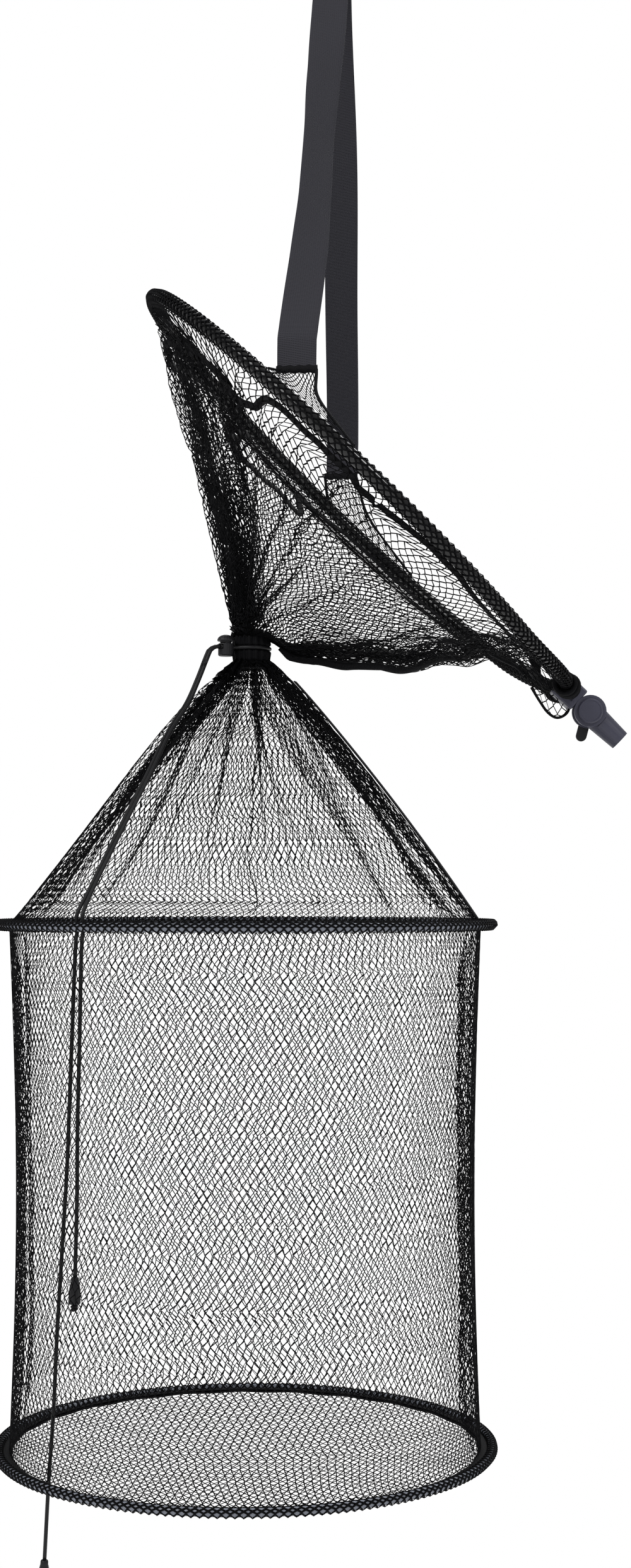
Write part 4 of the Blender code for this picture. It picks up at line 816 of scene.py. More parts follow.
def folded(plain, columns, rows, folds, seed, fullness=0.5, weight=None, tucks=()):
    """A surface whose netting is folded into pleats where its girth shrinks.

    plain maps angles, shares down and depths of fold to points, and weight maps angles to the share
    of the pleats there. A tuck is one more fold: its angle, its half width in degrees, and its depth.
    The result maps u, even along the netting round each row, and v to points.
    """
    turn = np.linspace(0, math.tau, 1801)
    down = np.linspace(0, 1, 4 * rows + 1)
    turns, downs = np.meshgrid(turn, down)
    wave = pleats(turns + 0.25 * np.sin(2.2 * downs), folds, seed)
    if weight:
        wave = wave * weight(turns)
    round_it = np.linalg.norm(np.diff(plain(turns, downs, 0 * turns), axis=1), axis=-1).sum(axis=1)
    slack = (round_it.max() / round_it) ** fullness
    slope = 1.45 * np.sqrt(np.maximum(0, slack**2 - 1))
    radius = round_it[:, None] / math.tau
    depth = wave * np.minimum(2 * slope[:, None] * radius / folds, 0.62 * radius)
    fade = np.clip(12 * downs, 0, 1) * np.clip(12 * (1 - downs), 0, 1)
    for angle, half, deep in tucks:
        middle = angle + 1.5 * np.sin(7 * downs + angle) + 0.6 * np.sin(23 * downs + angle)
        beside = np.abs((np.degrees(turns) - middle + 180) % 360 - 180)
        tuck = np.clip(1 - beside / half, 0, 1) * deep * fade
        depth = np.maximum(depth, np.minimum(tuck, 0.4 * radius))
    lean = np.clip(1.8 * np.sin(3 * turns + seed), -1.15, 1.15)
    points = plain(turns + lean * depth / np.maximum(radius, 0.02), downs, depth)
    steps = np.linalg.norm(np.diff(points, axis=1), axis=-1)
    reach = np.concatenate((np.zeros((len(down), 1)), np.cumsum(steps, axis=1)), axis=1)
    even = np.linspace(0, 1, 4 * columns + 1)
    grid = []
    for far, row in zip(reach, points):
        grid.append(np.stack([np.interp(even * far[-1], far, row[:, i]) for i in range(3)], -1))
    grid = np.stack(grid)

    def place(u, v):
        across = (np.asarray(u, float) % 1.0) * 4 * columns
        along = np.clip(np.asarray(v, float), 0, 1) * 4 * rows
        i = np.minimum(across.astype(int), 4 * columns - 1)
        j = np.minimum(along.astype(int), 4 * rows - 1)
        x, y = (across - i)[..., None], (along - j)[..., None]
        low = grid[j, i] * (1 - x) + grid[j, i + 1] * x
        high = grid[j + 1, i] * (1 - x) + grid[j + 1, i + 1] * x
        return low * (1 - y) + high * y

    return place


def shoulder_place(turn, v, fold=0.0, off=0.0, across=0.0):
    """World points of the shoulder netting: v 0 at the neck and 1 at the middle hoop, a fold going in."""
    top, low = NECK[2] - NECK_UP, MIDDLE_Z + NET_END
    radius = NECK_OUT + (SHOULDER_RADIUS - NECK_OUT) * v**0.85
    radius = radius + 0.0035 * np.sin(math.pi * v**0.5) ** 2 * np.sin(10 * turn) - fold
    slope = math.atan2(top - low, SHOULDER_RADIUS - NECK_OUT)
    flat, rise = math.sin(slope), math.cos(slope)
    middle = NECK[0] + (NET_X - NECK[0]) * v
    at = np.stack((middle + radius * np.cos(turn), radius * np.sin(turn), top + (low - top) * v), -1)
    out = np.stack((np.cos(turn) * flat, np.sin(turn) * flat, 0 * turn + rise), -1)
    side = np.stack((-np.sin(turn), np.cos(turn), 0 * turn), -1)
    return at + out * off + side * across


def body_place(u, v, off=0.0):
    """World points of the body netting: v 0 at the middle hoop and 1 at the bottom hoop."""
    turn = u * math.tau
    top, low = MIDDLE_Z - NET_END, BOTTOM_Z + NET_END
    belly = np.sin(math.pi * v)
    radius = BODY_RADIUS * (1 - BODY_WAIST_SHARE * belly) + 0.0006 * belly * np.sin(9 * turn)
    radius = radius + waves(turn + 0.25 * v, 6, (11, 16, 25)) * 0.0005 * belly + off
    return np.stack((NET_X + radius * np.cos(turn), radius * np.sin(turn), top + (low - top) * v), -1)


# Cords


def lock_out():
    """The way that the cords leave the neck."""
    turn = math.radians(LOCK_ANGLE)
    return np.array((-math.cos(turn), -math.sin(turn), 0))


def cord_paths(name):
    """The three stretches of a free cord: by the lock, down the shoulder, and inside the body."""
    side = 1 if name == "a" else -1
    apart = side * TAIL_PITCH / 2
    out = lock_out()
    across = np.array((-out[1], out[0], 0))
    start = NECK + out * (LOCK_DISTANCE + BARREL_RADIUS + GAP) + across * apart
    upper = [start + out * 0.0025]
    for place in CORD_FREE:
        way = np.array(place) - NECK
        square = unit(np.array((-way[1], way[0], 0)))
        upper.append(np.array(place) + square * apart)
    for angle, share in CORD_DOWN:
        place = shoulder_place(np.array(math.radians(angle)), np.array(share), 0.0, CORD_OFF, apart)
        upper.append(place)
    for angle, radius, height in CORD_IN[name]:
        turn = math.radians(angle)
        upper.append(np.array((NET_X + radius * math.cos(turn), radius * math.sin(turn), height)))
    upper = np.concatenate(([start], smooth_route(upper, 0.004)))
    cut = int(np.argmax(upper[:, 2] < LEAD_END_Z))
    lead, shoulder = upper[: cut + 1], upper[cut:]
    way = unit(shoulder[-1] - shoulder[-2])
    top = shoulder[-1]
    tail = smooth_route(np.concatenate(([top, top + way * 0.003], CORD_ROUTE[name])), 0.005)
    return lead, shoulder, tail


# Operators


def piece(ob, body, node=None):
    """Ride a piece on its body, and hide the node that it stands for."""
    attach(ob, body)
    if node:
        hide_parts(node)
    return ob


class KEEPNET_OT_stage(bpy.types.Operator):
    """Set the camera, the lamps, the pale floor and the white surroundings"""

    bl_idname = "keepnet.stage"
    bl_label = "Stage"
    bl_options = {"REGISTER", "UNDO"}

    def execute(self, context):
        scene = bpy.context.scene
        scene.view_settings.view_transform = "Standard"
        camera = bpy.data.cameras.new("camera")
        ob = bpy.data.objects.new("camera", camera)
        scene.collection.objects.link(ob)
        ob.location = CAMERA_AT
        ob.rotation_euler = (math.radians(90), 0, 0)
        camera.sensor_width = 36
        camera.lens = camera.sensor_width * FOCAL_LENGTH / FRAME_HEIGHT
        camera.shift_y = HORIZON_BELOW_MIDDLE / FRAME_HEIGHT
        scene.camera = ob
        self.lamp("key_lamp", (-1.6, -1.8, 1.3), 1.6, 32)
        self.lamp("fill_lamp", (1.3, -1.5, 1.0), 0.6, 12)
        self.lamp("back_lamp", (0.6, 1.8, 1.2), 1.8, 20)
        self.world()
        self.floor()
        return {"FINISHED"}

    def lamp(self, name, at, size, power):
        """A soft square lamp that points at the net."""
        data = bpy.data.lights.new(name, "AREA")
        data.energy = power
        data.size = size
        ob = bpy.data.objects.new(name, data)
        bpy.context.scene.collection.objects.link(ob)
        ob.location = at
        way = Vector((-0.05, 0, -0.7)) - Vector(at)
        ob.rotation_euler = way.to_track_quat("-Z", "Y").to_euler()

    def background_mask(self, tree):
        """One for a ray that shows the surroundings: from the camera, a reflection or glass."""
        ray = tree.nodes.new("ShaderNodeLightPath").outputs
        first = math_node(tree, "MAXIMUM", ray["Is Camera Ray"], ray["Is Glossy Ray"])
        return math_node(tree, "MAXIMUM", first, ray["Is Transmission Ray"])

    def world(self):
        """Soft white surroundings."""
        world = bpy.data.worlds.new("surroundings")
        bpy.context.scene.world = world
        world.use_nodes = True
        tree = world.node_tree
        sky = tree.nodes["Background"]
        sky.inputs["Color"].default_value = (1, 1, 1, 1)
        ray = tree.nodes.new("ShaderNodeLightPath").outputs
        seen = math_node(tree, "MAXIMUM", ray["Is Camera Ray"], ray["Is Transmission Ray"])
        strength = math_node(tree, "MULTIPLY_ADD", seen, 0.62)
        strength.node.inputs[2].default_value = 0.38
        tree.links.new(strength, sky.inputs["Strength"])

    def floor(self):
        """A pale floor that keeps the net's shadow."""
        at = (0, 0, FLOOR_Z)
        bpy.ops.mesh.primitive_circle_add(vertices=96, radius=20, fill_type="NGON", location=at)
        ob = bpy.context.object
        ob.name = "studio_floor"
        made = bpy.data.materials.new("studio_floor")
        made.use_nodes = True
        tree = made.node_tree
        shader = tree.nodes["Principled BSDF"]
        shader.inputs["Base Color"].default_value = (*colours().floor, 1)
        shader.inputs["Roughness"].default_value = 0.9
        glow = tree.nodes.new("ShaderNodeEmission")
        glow.inputs["Strength"].default_value = 1.0
        mix = tree.nodes.new("ShaderNodeMixShader")
        where = tree.nodes.new("ShaderNodeTexCoord")
        away = tree.nodes.new("ShaderNodeVectorMath")
        away.operation = "LENGTH"
        tree.links.new(where.outputs["Object"], away.inputs[0])
        fade = tree.nodes.new("ShaderNodeMapRange")
        tree.links.new(away.outputs["Value"], fade.inputs["Value"])
        fade.inputs["From Min"].default_value = 0.3
        fade.inputs["From Max"].default_value = 0.9
        fade.inputs["To Min"].default_value = 0.86
        fade.inputs["To Max"].default_value = 1.0
        mask = math_node(tree, "MULTIPLY", self.background_mask(tree), fade.outputs["Result"])
        tree.links.new(mask, mix.inputs[0])
        tree.links.new(shader.outputs[0], mix.inputs[1])
        tree.links.new(glow.outputs[0], mix.inputs[2])
        tree.links.new(mix.outputs[0], tree.nodes["Material Output"].inputs["Surface"])
        ob.data.materials.append(made)


class KEEPNET_OT_cords(bpy.types.Operator):
    """Run the two free cords from the lock down the shoulder and inside the body, with their ends"""

    bl_idname = "keepnet.cords"
    bl_label = "Cords"
    bl_options = {"REGISTER", "UNDO"}

    def execute(self, context):
        for name in "ab":
            lead, shoulder, tail = cord_paths(name)
            radius = sizes().cord / 2
            near = tube(f"cord_{name}_lead", lead, radius, 12, material=cord_finish())
            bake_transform(near)
            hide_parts(f"cord_{name}_upper")
            down = tube(f"cord_{name}_shoulder", shoulder, radius, 12, material=cord_finish())
            squash_shoulder(piece(down, "neck"))
            self.declare(down, shoulder, lead[-1], "object", "taut", [near])
            ends = [self.bell(name, tail), self.knot(name, tail)]
            below = tube(f"cord_{name}_tail", tail, radius, 12, material=cord_finish())
            piece(below, "middle_hoop", f"cord_{name}_lower")
            self.declare(below, tail, tail[0], "fitting", "hanging", ends)
        return {"FINISHED"}

    def declare(self, ob, path, leaves, far_end, lay, others):
        """Does nothing: the stretch and its kind of cord are not used."""

    def turned(self, name, profile, at, way, flutes, depth, material):
        """A turned end piece along the cord, with shallow flutes."""
        turn = np.arange(48) * math.tau / 48
        side = unit(np.cross(way, (0, 1.0, 0)))
        other = np.cross(way, side)
        rings = []
        for radius, down, fluted in profile:
            reach = radius * (1 - depth * fluted * (0.5 + 0.5 * np.cos(flutes * turn)) ** 3)
            ring = np.outer(reach * np.cos(turn), side) + np.outer(reach * np.sin(turn), other)
            rings.append(at + way * down + ring)
        return closed_rings(name, rings, [at + way * profile[i][1] for i in (0, -1)], material)

    def bell(self, name, tail):
        """The moulded bell on a cord's end."""
        way = unit(tail[-1] - tail[-2])
        profile = (
            (0.0017, 0.0002, 0),
            (0.0024, 0.0003, 0),
            (0.0029, 0.0010, 0),
            (0.0030, 0.0035, 0),
            (0.0033, 0.0045, 0.6),
            (0.0041, 0.0080, 1),
            (0.0045, 0.0120, 1),
            (0.0046, 0.0165, 1),
            (0.0047, 0.0185, 0.5),
            (0.0046, 0.0197, 0),
            (0.0040, 0.0203, 0),
            (0.0022, 0.0203, 0),
            (0.0019, 0.0196, 0),
        )
        ob = self.turned(f"cord_{name}_end_bell", profile, tail[-1], way, 10, 0.1, dark_finish())
        return piece(ob, "middle_hoop", f"cord_{name}_bell")

    def knot(self, name, tail):
        """The knotted cord end below the bell."""
        way = unit(tail[-1] - tail[-2])
        side = unit(np.cross(way, (0, 1.0, 0)))
        other = np.cross(way, side)
        middle = tail[-1] + way * 0.0233
        turn = np.linspace(0, 1, 41)
        angle = turn * math.tau * 1.75
        path = (
            middle
            + np.outer(0.0017 * np.cos(angle), side)
            + np.outer(0.0017 * np.sin(angle), other)
            + np.outer((turn - 0.45) * 0.0042, way)
        )
        ob = tube(f"cord_{name}_end_knot", path, 0.00125, 10, material=cord_finish())
        return piece(ob, "middle_hoop", f"cord_{name}_knot")


def squash_shoulder(ob):
    """Give a shoulder piece its own copy of its mesh."""
    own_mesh(ob)


def squash_body(ob):
    """Give a body piece its own copy of its mesh."""
    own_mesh(ob)


class KEEPNET_OT_strap(bpy.types.Operator):
    """Weave the strap from its near seam over the loop to its far seam"""

    bl_idname = "keepnet.strap"
    bl_label = "Strap"
    bl_options = {"REGISTER", "UNDO"}

    def execute(self, context):
        half, width, wall = STRAP_HALF, sizes().web_width, sizes().web_wall
        inverse = np.linalg.inv(STRAP)
        top = placed(inverse, np.zeros(3))
        middle = STRAP_BEND + wall / 2
        centre = top - np.array((0, 0, STRAP_BEND))
        path, twist = [], []
        twists = ((0, 0), (0.14, 6), (0.29, 22), (0.43, 38), (0.57, 42), (0.71, 30), (0.86, 12), (1, 0))
        for side in (-1, 1):
            plumb = np.array((0, side * half, 0.018))
            lean = math.atan2(half - middle, centre[2] - plumb[2])
            edge = centre + np.array((0, side * math.cos(lean), math.sin(lean))) * middle
            foot = np.array((0, side * half, -0.008))
            low = foot + (plumb - foot) * np.linspace(0, 0.72, 8)[:, None]
            bend = plumb - (plumb - foot) * 0.14
            after = plumb + (edge - plumb) * 0.02
            turn = np.linspace(0.15, 0.85, 6)[:, None]
            corner = bend * (1 - turn) ** 2 + plumb * 2 * turn * (1 - turn) + after * turn**2
            high = plumb + (edge - plumb) * np.linspace(0.03, 1, 90)[:, None]
            strand = np.concatenate((low, corner, high))
            share = np.linspace(0, 1, len(strand))
            lean_by = table(twists, share) if side < 0 else 0 * share
            strand[:, 0] += 0.0012 * np.sin(share * 9 + side) * np.sin(share * math.pi)
            belly = table(((0, 0.0), (0.5, 0.0032), (1, 0.0)), share.clip(0, 0.9999))
            strand[:, 0] += belly + 0.0012 * (side > 0) * (1 - share)
            if side < 0:
                path.append(strand[:-1])
                twist.append(lean_by[:-1])
                bend_turn = math.pi - lean - (math.pi - 2 * lean) * np.linspace(0, 1, 17)
                arc = np.stack((0 * bend_turn, np.cos(bend_turn), np.sin(bend_turn)), -1)
                path.append(centre + arc * middle)
                twist.append(0 * bend_turn)
            else:
                path.append(strand[::-1][1:])
                twist.append(lean_by[::-1][1:])
        path, twist = np.concatenate(path), np.concatenate(twist)
        ahead = unit(np.gradient(path, axis=0))
        flat = unit(np.array((1.0, 0, 0)) - ahead * ahead[:, :1])
        other = np.cross(ahead, flat)
        angle = np.radians(twist)[:, None]
        across = flat * np.cos(angle) + other * np.sin(angle)
        out = np.cross(across, ahead)
        path = placed(STRAP, path)
        across, out = across @ STRAP[:3, :3].T, out @ STRAP[:3, :3].T
        ob = swept("webbing_strap", path, across, out, self.profile(width, wall), material=web_finish())
        piece(ob, "strap", "strap_webbing")
        self.stitches()
        return {"FINISHED"}

    def profile(self, width, wall):
        """A webbing's outline: rounded edges and a faint crown."""
        half, edge = width / 2 - wall / 2, wall / 2
        turn = np.linspace(-math.pi / 2, math.pi / 2, 5)
        right = np.stack((half + edge * np.cos(turn), edge * np.sin(turn)), -1)
        x = np.linspace(1, -1, 9)[1:-1] * half
        top = np.stack((x, 0 * x + edge), -1)
        return np.concatenate((right, top, -right, -top))

    def stitches(self):
        """Rows of stitches through the webbing's sewn ends."""
        ring = round_profile(0.0003, 6)
        for side, name in ((-1, "near"), (1, "far")):
            y = side * (STRAP_HALF - 0.0011)
            points, quads, caps = [], [], []
            for row in (-0.0045, 0.0035):
                for middle in (np.arange(10) - 4.5) * 0.0025:
                    path = np.linspace((middle - 0.0008, y, row), (middle + 0.0008, y, row), 4)
                    path = placed(STRAP, path)
                    corners, sides, ends = carried(path, *frames_along(path), ring)
                    base = sum(len(p) for p in points)
                    points.append(corners)
                    quads.append(base + sides)
                    caps.append(base + ends)
            points, quads, caps = (np.concatenate(a) for a in (points, quads, caps))
            if signed_volume(points, [quads, caps]) < 0:
                quads, caps = quads[:, ::-1], caps[:, ::-1]
            ob = mesh_object(f"strap_stitches_{name}", points, [quads, caps])
            ob.data.materials.append(net_finish())
            piece(ob, "strap")


class KEEPNET_OT_top_hoop(bpy.types.Operator):
    """Bend the top hoop's tube and wrap its netting sleeve"""

    bl_idname = "keepnet.top_hoop"
    bl_label = "Top hoop"
    bl_options = {"REGISTER", "UNDO"}

    def execute(self, context):
        tube_finish = finish("gloss_black_tube", colours().top_tube, (0.08, 0.13), 1.4, 0.05, 0.0001)
        turn = np.radians(np.linspace(4.2, 355.8, 240))
        arc = hoop_place(turn)
        ends = [placed(HOOP, np.array((HOOP_RADIUS, s * 0.0008, 0))) for s in (1, -1)]
        path = np.concatenate((ends[:1], arc, ends[1:]))
        ob = tube("top_hoop_tube", path, sizes().top_tube, 20, material=tube_finish)
        piece(ob, "top_hoop", "hoop_tube")

        def place(u, v):
            angle = np.radians(4.0 + 352.0 * u)
            around = -v * math.tau
            wall = 0.00565
            return hoop_place(angle, wall * np.cos(around), wall * np.sin(around))

        ob = netting("top_hoop_sleeve", place, sizes().funnel_columns, 7, around=False, thin=1.75)
        piece(ob, "top_hoop", "hoop_sleeve")
        for side, name in ((-1, "near"), (1, "far")):
            self.bunch(side, name)
        return {"FINISHED"}

    def bunch(self, side, name):
        """The sleeve's end, pushed into a bunch of folds beside the yoke."""
        share = np.linspace(0, 1, 200)
        angle = side * np.radians(4.4 + 8.2 * share)
        around = side + share * math.tau * 6.3 + 0.5 * np.sin(share * 21)
        wide = 0.0079 + 0.0014 * np.sin(share * 43 + side)
        path = hoop_place(angle, wide * np.cos(around), wide * np.sin(around))
        ob = tube(f"sleeve_bunch_{name}", path, 0.0019, 8, material=net_finish())
        piece(ob, "top_hoop", "hoop_sleeve")


class KEEPNET_OT_gussets(bpy.types.Operator):
    """Make the netting gussets between the strap and the top hoop"""

    bl_idname = "keepnet.gussets"
    bl_label = "Gussets"
    bl_options = {"REGISTER", "UNDO"}

    def execute(self, context):
        self.gusset("near", -1, (-113.0, -91.0))
        self.gusset("far", 1, (102.0, 75.0))
        return {"FINISHED"}

    def surface(self, side, angles):
        """A function from across and down shares to world points."""
        plane = side * (STRAP_HALF + 0.0013)
        left, right = (math.radians(a) for a in angles)

        def place(u, v):
            u, v = np.asarray(u, float), np.asarray(v, float)
            tab = placed(STRAP, np.stack(np.broadcast_arrays(0.028 * (u - 0.5), plane, -0.0062), -1))
            base = hoop_place(left + (right - left) * u, 0, 0.0062)
            foot = hoop_place(0 * u + left, 0, 0.0058)
            corner = placed(STRAP, np.stack(np.broadcast_arrays(-0.014 + 0 * u, plane, -0.0062), -1))
            down = v[..., None]
            at = tab * (1 - down) + base * down
            inner = corner * (1 - down) + foot * down
            pull = 0.28 * u[..., None] * np.sin(math.pi * down)
            return at * (1 - pull) + inner * pull

        return place

    def gusset(self, name, side, angles):
        """One gusset: its netting, its two bound edges and the hem that is sewn to the strap."""
        place = self.surface(side, angles)
        parts = [netting(f"gusset_{name}_net", place, 10, 10, around=False, thin=1.05)]
        v = np.linspace(0.0, 1.0, 60)
        for edge, u in (("free", 1.0), ("back", 0.0)):
            path = place(np.full(60, u), v)
            out = unit(path - place(np.full(60, abs(u - 0.05)), v))
            ahead = unit(np.gradient(path, axis=0))
            out = unit(out - ahead * np.einsum("ij,ij->i", out, ahead)[:, None])
            label = f"gusset_{name}_{edge}_edge"
            parts.append(swept(label, path, out, np.cross(ahead, out), band_profile(0.0026, 0.0016)))
        x = np.linspace(-0.0147, 0.0147, 24)
        wavy = -0.0058 + 0.0004 * np.sin(900 * x)
        path = placed(STRAP, np.stack((x, np.full(24, side * STRAP_HALF), wavy), -1))
        upright, ahead = np.tile(STRAP[:3, 2], (24, 1)), np.tile(STRAP[:3, 1], (24, 1))
        parts.append(swept(f"gusset_{name}_hem", path, upright, ahead, band_profile(0.0056, 0.0044, 6)))
        for ob in parts[1:]:
            ob.data.materials.append(tape_finish())
        for ob in parts:
            piece(ob, "top_hoop", f"gusset_{name}")


class KEEPNET_OT_funnel(bpy.types.Operator):
    """Hang the funnel netting from the top hoop to the neck, with its tapes"""

    bl_idname = "keepnet.funnel"
    bl_label = "Funnel"
    bl_options = {"REGISTER", "UNDO"}

    # One more fold each: its angle, its half width in degrees, and its depth
    TUCKS = (
        (179, 2.0, 0.012), (-175, 2.0, 0.012), (171, 2.4, 0.020), (-168, 2.4, 0.024),
        (-160, 2.2, 0.020), (161, 2.0, 0.018), (-149, 2.4, 0.024), (147, 2.2, 0.022),
        (-141, 2.2, 0.020), (138, 2.0, 0.018), (-133, 2.4, 0.022), (128, 2.0, 0.018),
        (-124, 2.2, 0.020), (118, 2.0, 0.016), (-113, 2.4, 0.020), (-105, 2.0, 0.016),
        (-96, 2.2, 0.016), (-86, 2.0, 0.014), (-77, 2.0, 0.012), (9, 2.6, 0.020),
        (-9, 2.6, 0.022), (-23, 2.6, 0.018), (24, 2.6, 0.016), (-41, 2.2, 0.012),
        (-66, 2.0, 0.010),
    )

    # Where the wavy edge tape is sewn: shares round the netting and down it
    HEM_LINE = (
        (0.989, 0.062), (0.942, 0.090), (0.874, 0.070), (0.848, 0.046), (0.828, 0.020), (0.812, 0.018),
        (0.796, 0.030), (0.783, 0.050), (0.767, 0.053), (0.751, 0.037), (0.738, 0.034), (0.724, 0.031),
        (0.708, 0.028), (0.694, 0.038), (0.687, 0.100), (0.675, 0.138), (0.646, 0.125), (0.621, 0.099),
        (0.584, 0.093), (0.543, 0.088), (0.513, 0.086), (0.475, 0.125), (0.449, 0.165), (0.413, 0.100),
        (0.390, 0.035), (0.361, 0.022), (0.309, 0.080), (0.334, 0.160), (0.340, 0.215), (0.314, 0.203),
        (0.301, 0.188), (0.283, 0.192), (0.264, 0.162), (0.255, 0.176), (0.243, 0.160), (0.243, 0.090),
        (0.258, 0.035), (0.240, 0.018), (0.210, 0.024), (0.185, 0.018), (0.154, 0.024), (0.102, 0.060),
        (0.057, 0.050), (0.019, 0.060),
    )

    def slack_side(self, turn):
        """The share of the pleats: few in the slack lobe below the angle lock."""
        beside = np.abs((np.degrees(turn) + 180) % 360 - 180).clip(0, 179.9)
        return 0.6 + 0.4 * table(((0, 0), (50, 0), (100, 1), (180, 1)), beside)

    def execute(self, context):
        columns, rows = sizes().funnel_columns, 45
        surface = folded(funnel_place, columns, rows, 13, 3, 0.75, self.slack_side, self.TUCKS)
        for name, first, last, flat, area in (
            ("high", 0, 22, (1.41, 0.13), 0.072),
            ("low", 22, rows, (1.2, 0.13), 0.068),
        ):
            ob = netting(f"funnel_net_{name}", surface, columns, rows, first, last, thin=1.3)
            piece(ob, "top_hoop", "funnel_net")
        self.tapes(surface)
        self.loop()
        return {"FINISHED"}

    def loop(self):
        """The small loop of piped netting under the yoke."""
        route = smooth_route(
            (
                (0.1585, -0.004, -0.5745),
                (0.1645, -0.006, -0.5850),
                (0.1715, -0.007, -0.5950),
                (0.1790, -0.006, -0.5990),
                (0.1865, -0.005, -0.5955),
                (0.1900, -0.004, -0.5880),
            ),
            0.0015,
        )
        ob = tube("yoke_loop_piping", route, 0.0011, 10, material=tape_finish())
        piece(ob, "top_hoop", "funnel_net")
        share = np.linspace(0, 1, len(route))
        top = np.linspace(route[0], route[-1], len(route)) + (0, 0, 0.002)

        def place(u, v):
            low = np.stack([np.interp(u, share, route[:, i]) for i in range(3)], -1)
            high = np.stack([np.interp(u, share, top[:, i]) for i in range(3)], -1)
            return high + (low - high) * np.asarray(v)[..., None]

        ob = netting("yoke_loop_net", place, 6, 3, around=False)
        piece(ob, "top_hoop", "funnel_net")

    def tapes(self, surface):
        """The wavy edge tape inside and the seam tape under the slack lobe."""
        first = self.HEM_LINE[0]
        line = smooth_route([(u, v, 0) for u, v in (*self.HEM_LINE, (first[0] - 1, first[1]))], 0.002)
        u, v = line[:-1, 0], line[:-1, 1]
        v = v + 0.003 * np.sin(38 * math.tau * u) + 0.002 * np.sin(61 * math.tau * u + 1)
        self.strip(surface, "funnel_edge_tape", u, v, -0.0018, (0.0068, 0.0014), "hem_tape", True)
        v = np.linspace(0.06, 0.96, 160)
        size = (sizes().tape_width * 1.3, 0.003)
        self.strip(surface, "funnel_seam", 0 * v, v, 0.0012, size, "funnel_seam_tape", False)

    def strip(self, surface, name, u, v, off, size, node, cyclic):
        """A tape along a line on the funnel."""
        path = surface(u, v)
        if cyclic:
            path = sum(np.roll(path, step, axis=0) for step in range(-3, 4)) / 7
        small = 0.006
        down = surface(u, np.clip(v + small, 0, 1)) - surface(u, np.clip(v - small, 0, 1))
        side = surface(u + small, v) - surface(u - small, v)
        out = unit(np.cross(down, side))
        if cyclic:
            ahead = unit(np.roll(path, -1, axis=0) - np.roll(path, 1, axis=0))
        else:
            ahead = unit(np.gradient(path, axis=0))
        across = unit(np.cross(ahead, out))
        path = path + out * off
        ob = swept(name, path, across, out, band_profile(*size), cyclic, tape_finish())
        piece(ob, "top_hoop", node)


class KEEPNET_OT_neck(bpy.types.Operator):
    """Gather the neck and tie its drawcord"""

    bl_idname = "keepnet.neck"
    bl_label = "Neck"
    bl_options = {"REGISTER", "UNDO"}

    def execute(self, context):
        turn = np.arange(260) * math.tau / 260
        z = np.linspace(-0.0150, 0.0150, 37)
        profile = table(
            (
                (-0.0150, 0.0090),
                (-0.0090, 0.0148),
                (-0.0030, 0.0156),
                (-0.0012, 0.0140),
                (0.0012, 0.0140),
                (0.0030, 0.0156),
                (0.0090, 0.0148),
                (0.0150, 0.0090),
            ),
            z,
        )
        pleat = 1 - 2 * pleats(turn, 17, 7)
        rings = []
        for height, radius in zip(z, profile):
            reach = radius * (0.92 + 0.1 * pleat + 0.015 * np.sin(61 * turn + 90 * height))
            ring = np.stack((reach * np.cos(turn), reach * np.sin(turn), 0 * turn + height), -1)
            rings.append(NECK + ring)
        ob = closed_rings("neck_pleats", rings, [NECK + (0, 0, z[i]) for i in (0, -1)], net_finish())
        piece(ob, "neck", "neck_gather")
        self.drawcord()
        return {"FINISHED"}

    def drawcord(self):
        """The cord round the neck, its two ends side by side into the cord lock."""
        half = TAIL_PITCH / 2
        loop = NECK_WAIST + GAP + CORD_SIZE / 2
        turn_out = loop * 0.55
        open_half = math.asin((half + turn_out) / (loop + turn_out))
        join = (loop + turn_out) * math.cos(open_half)
        end = LOCK_DISTANCE + BARREL_RADIUS
        legs = []
        for side in (1, -1):
            x = np.linspace(end, join + 0.002, 8)
            straight = np.stack((x, np.full(8, side * half), 0 * x), -1)
            centre = np.array((join, side * (half + turn_out), 0))
            turn = np.pi / 2 - (np.pi / 2 - open_half) * np.linspace(0, 1, 12)[:-1]
            bend = np.stack((turn_out * np.cos(turn), side * turn_out * np.sin(turn), 0 * turn), -1)
            legs.append(np.concatenate((straight, centre - bend)))
        angle = open_half + (math.tau - 2 * open_half) * np.linspace(0, 1, 72)
        loop_path = np.stack((np.cos(angle), np.sin(angle), 0 * angle), -1) * loop
        path = np.concatenate((legs[0], loop_path, legs[1][::-1]))
        turn = math.radians(180 + LOCK_ANGLE)
        cosine, sine = math.cos(turn), math.sin(turn)
        spin = np.array(((cosine, -sine, 0), (sine, cosine, 0), (0, 0, 1)))
        path = path @ spin.T + NECK
        ob = tube("neck_cord", path, sizes().cord / 2, 14, material=cord_finish())
        piece(ob, "neck", "neck_drawcord")


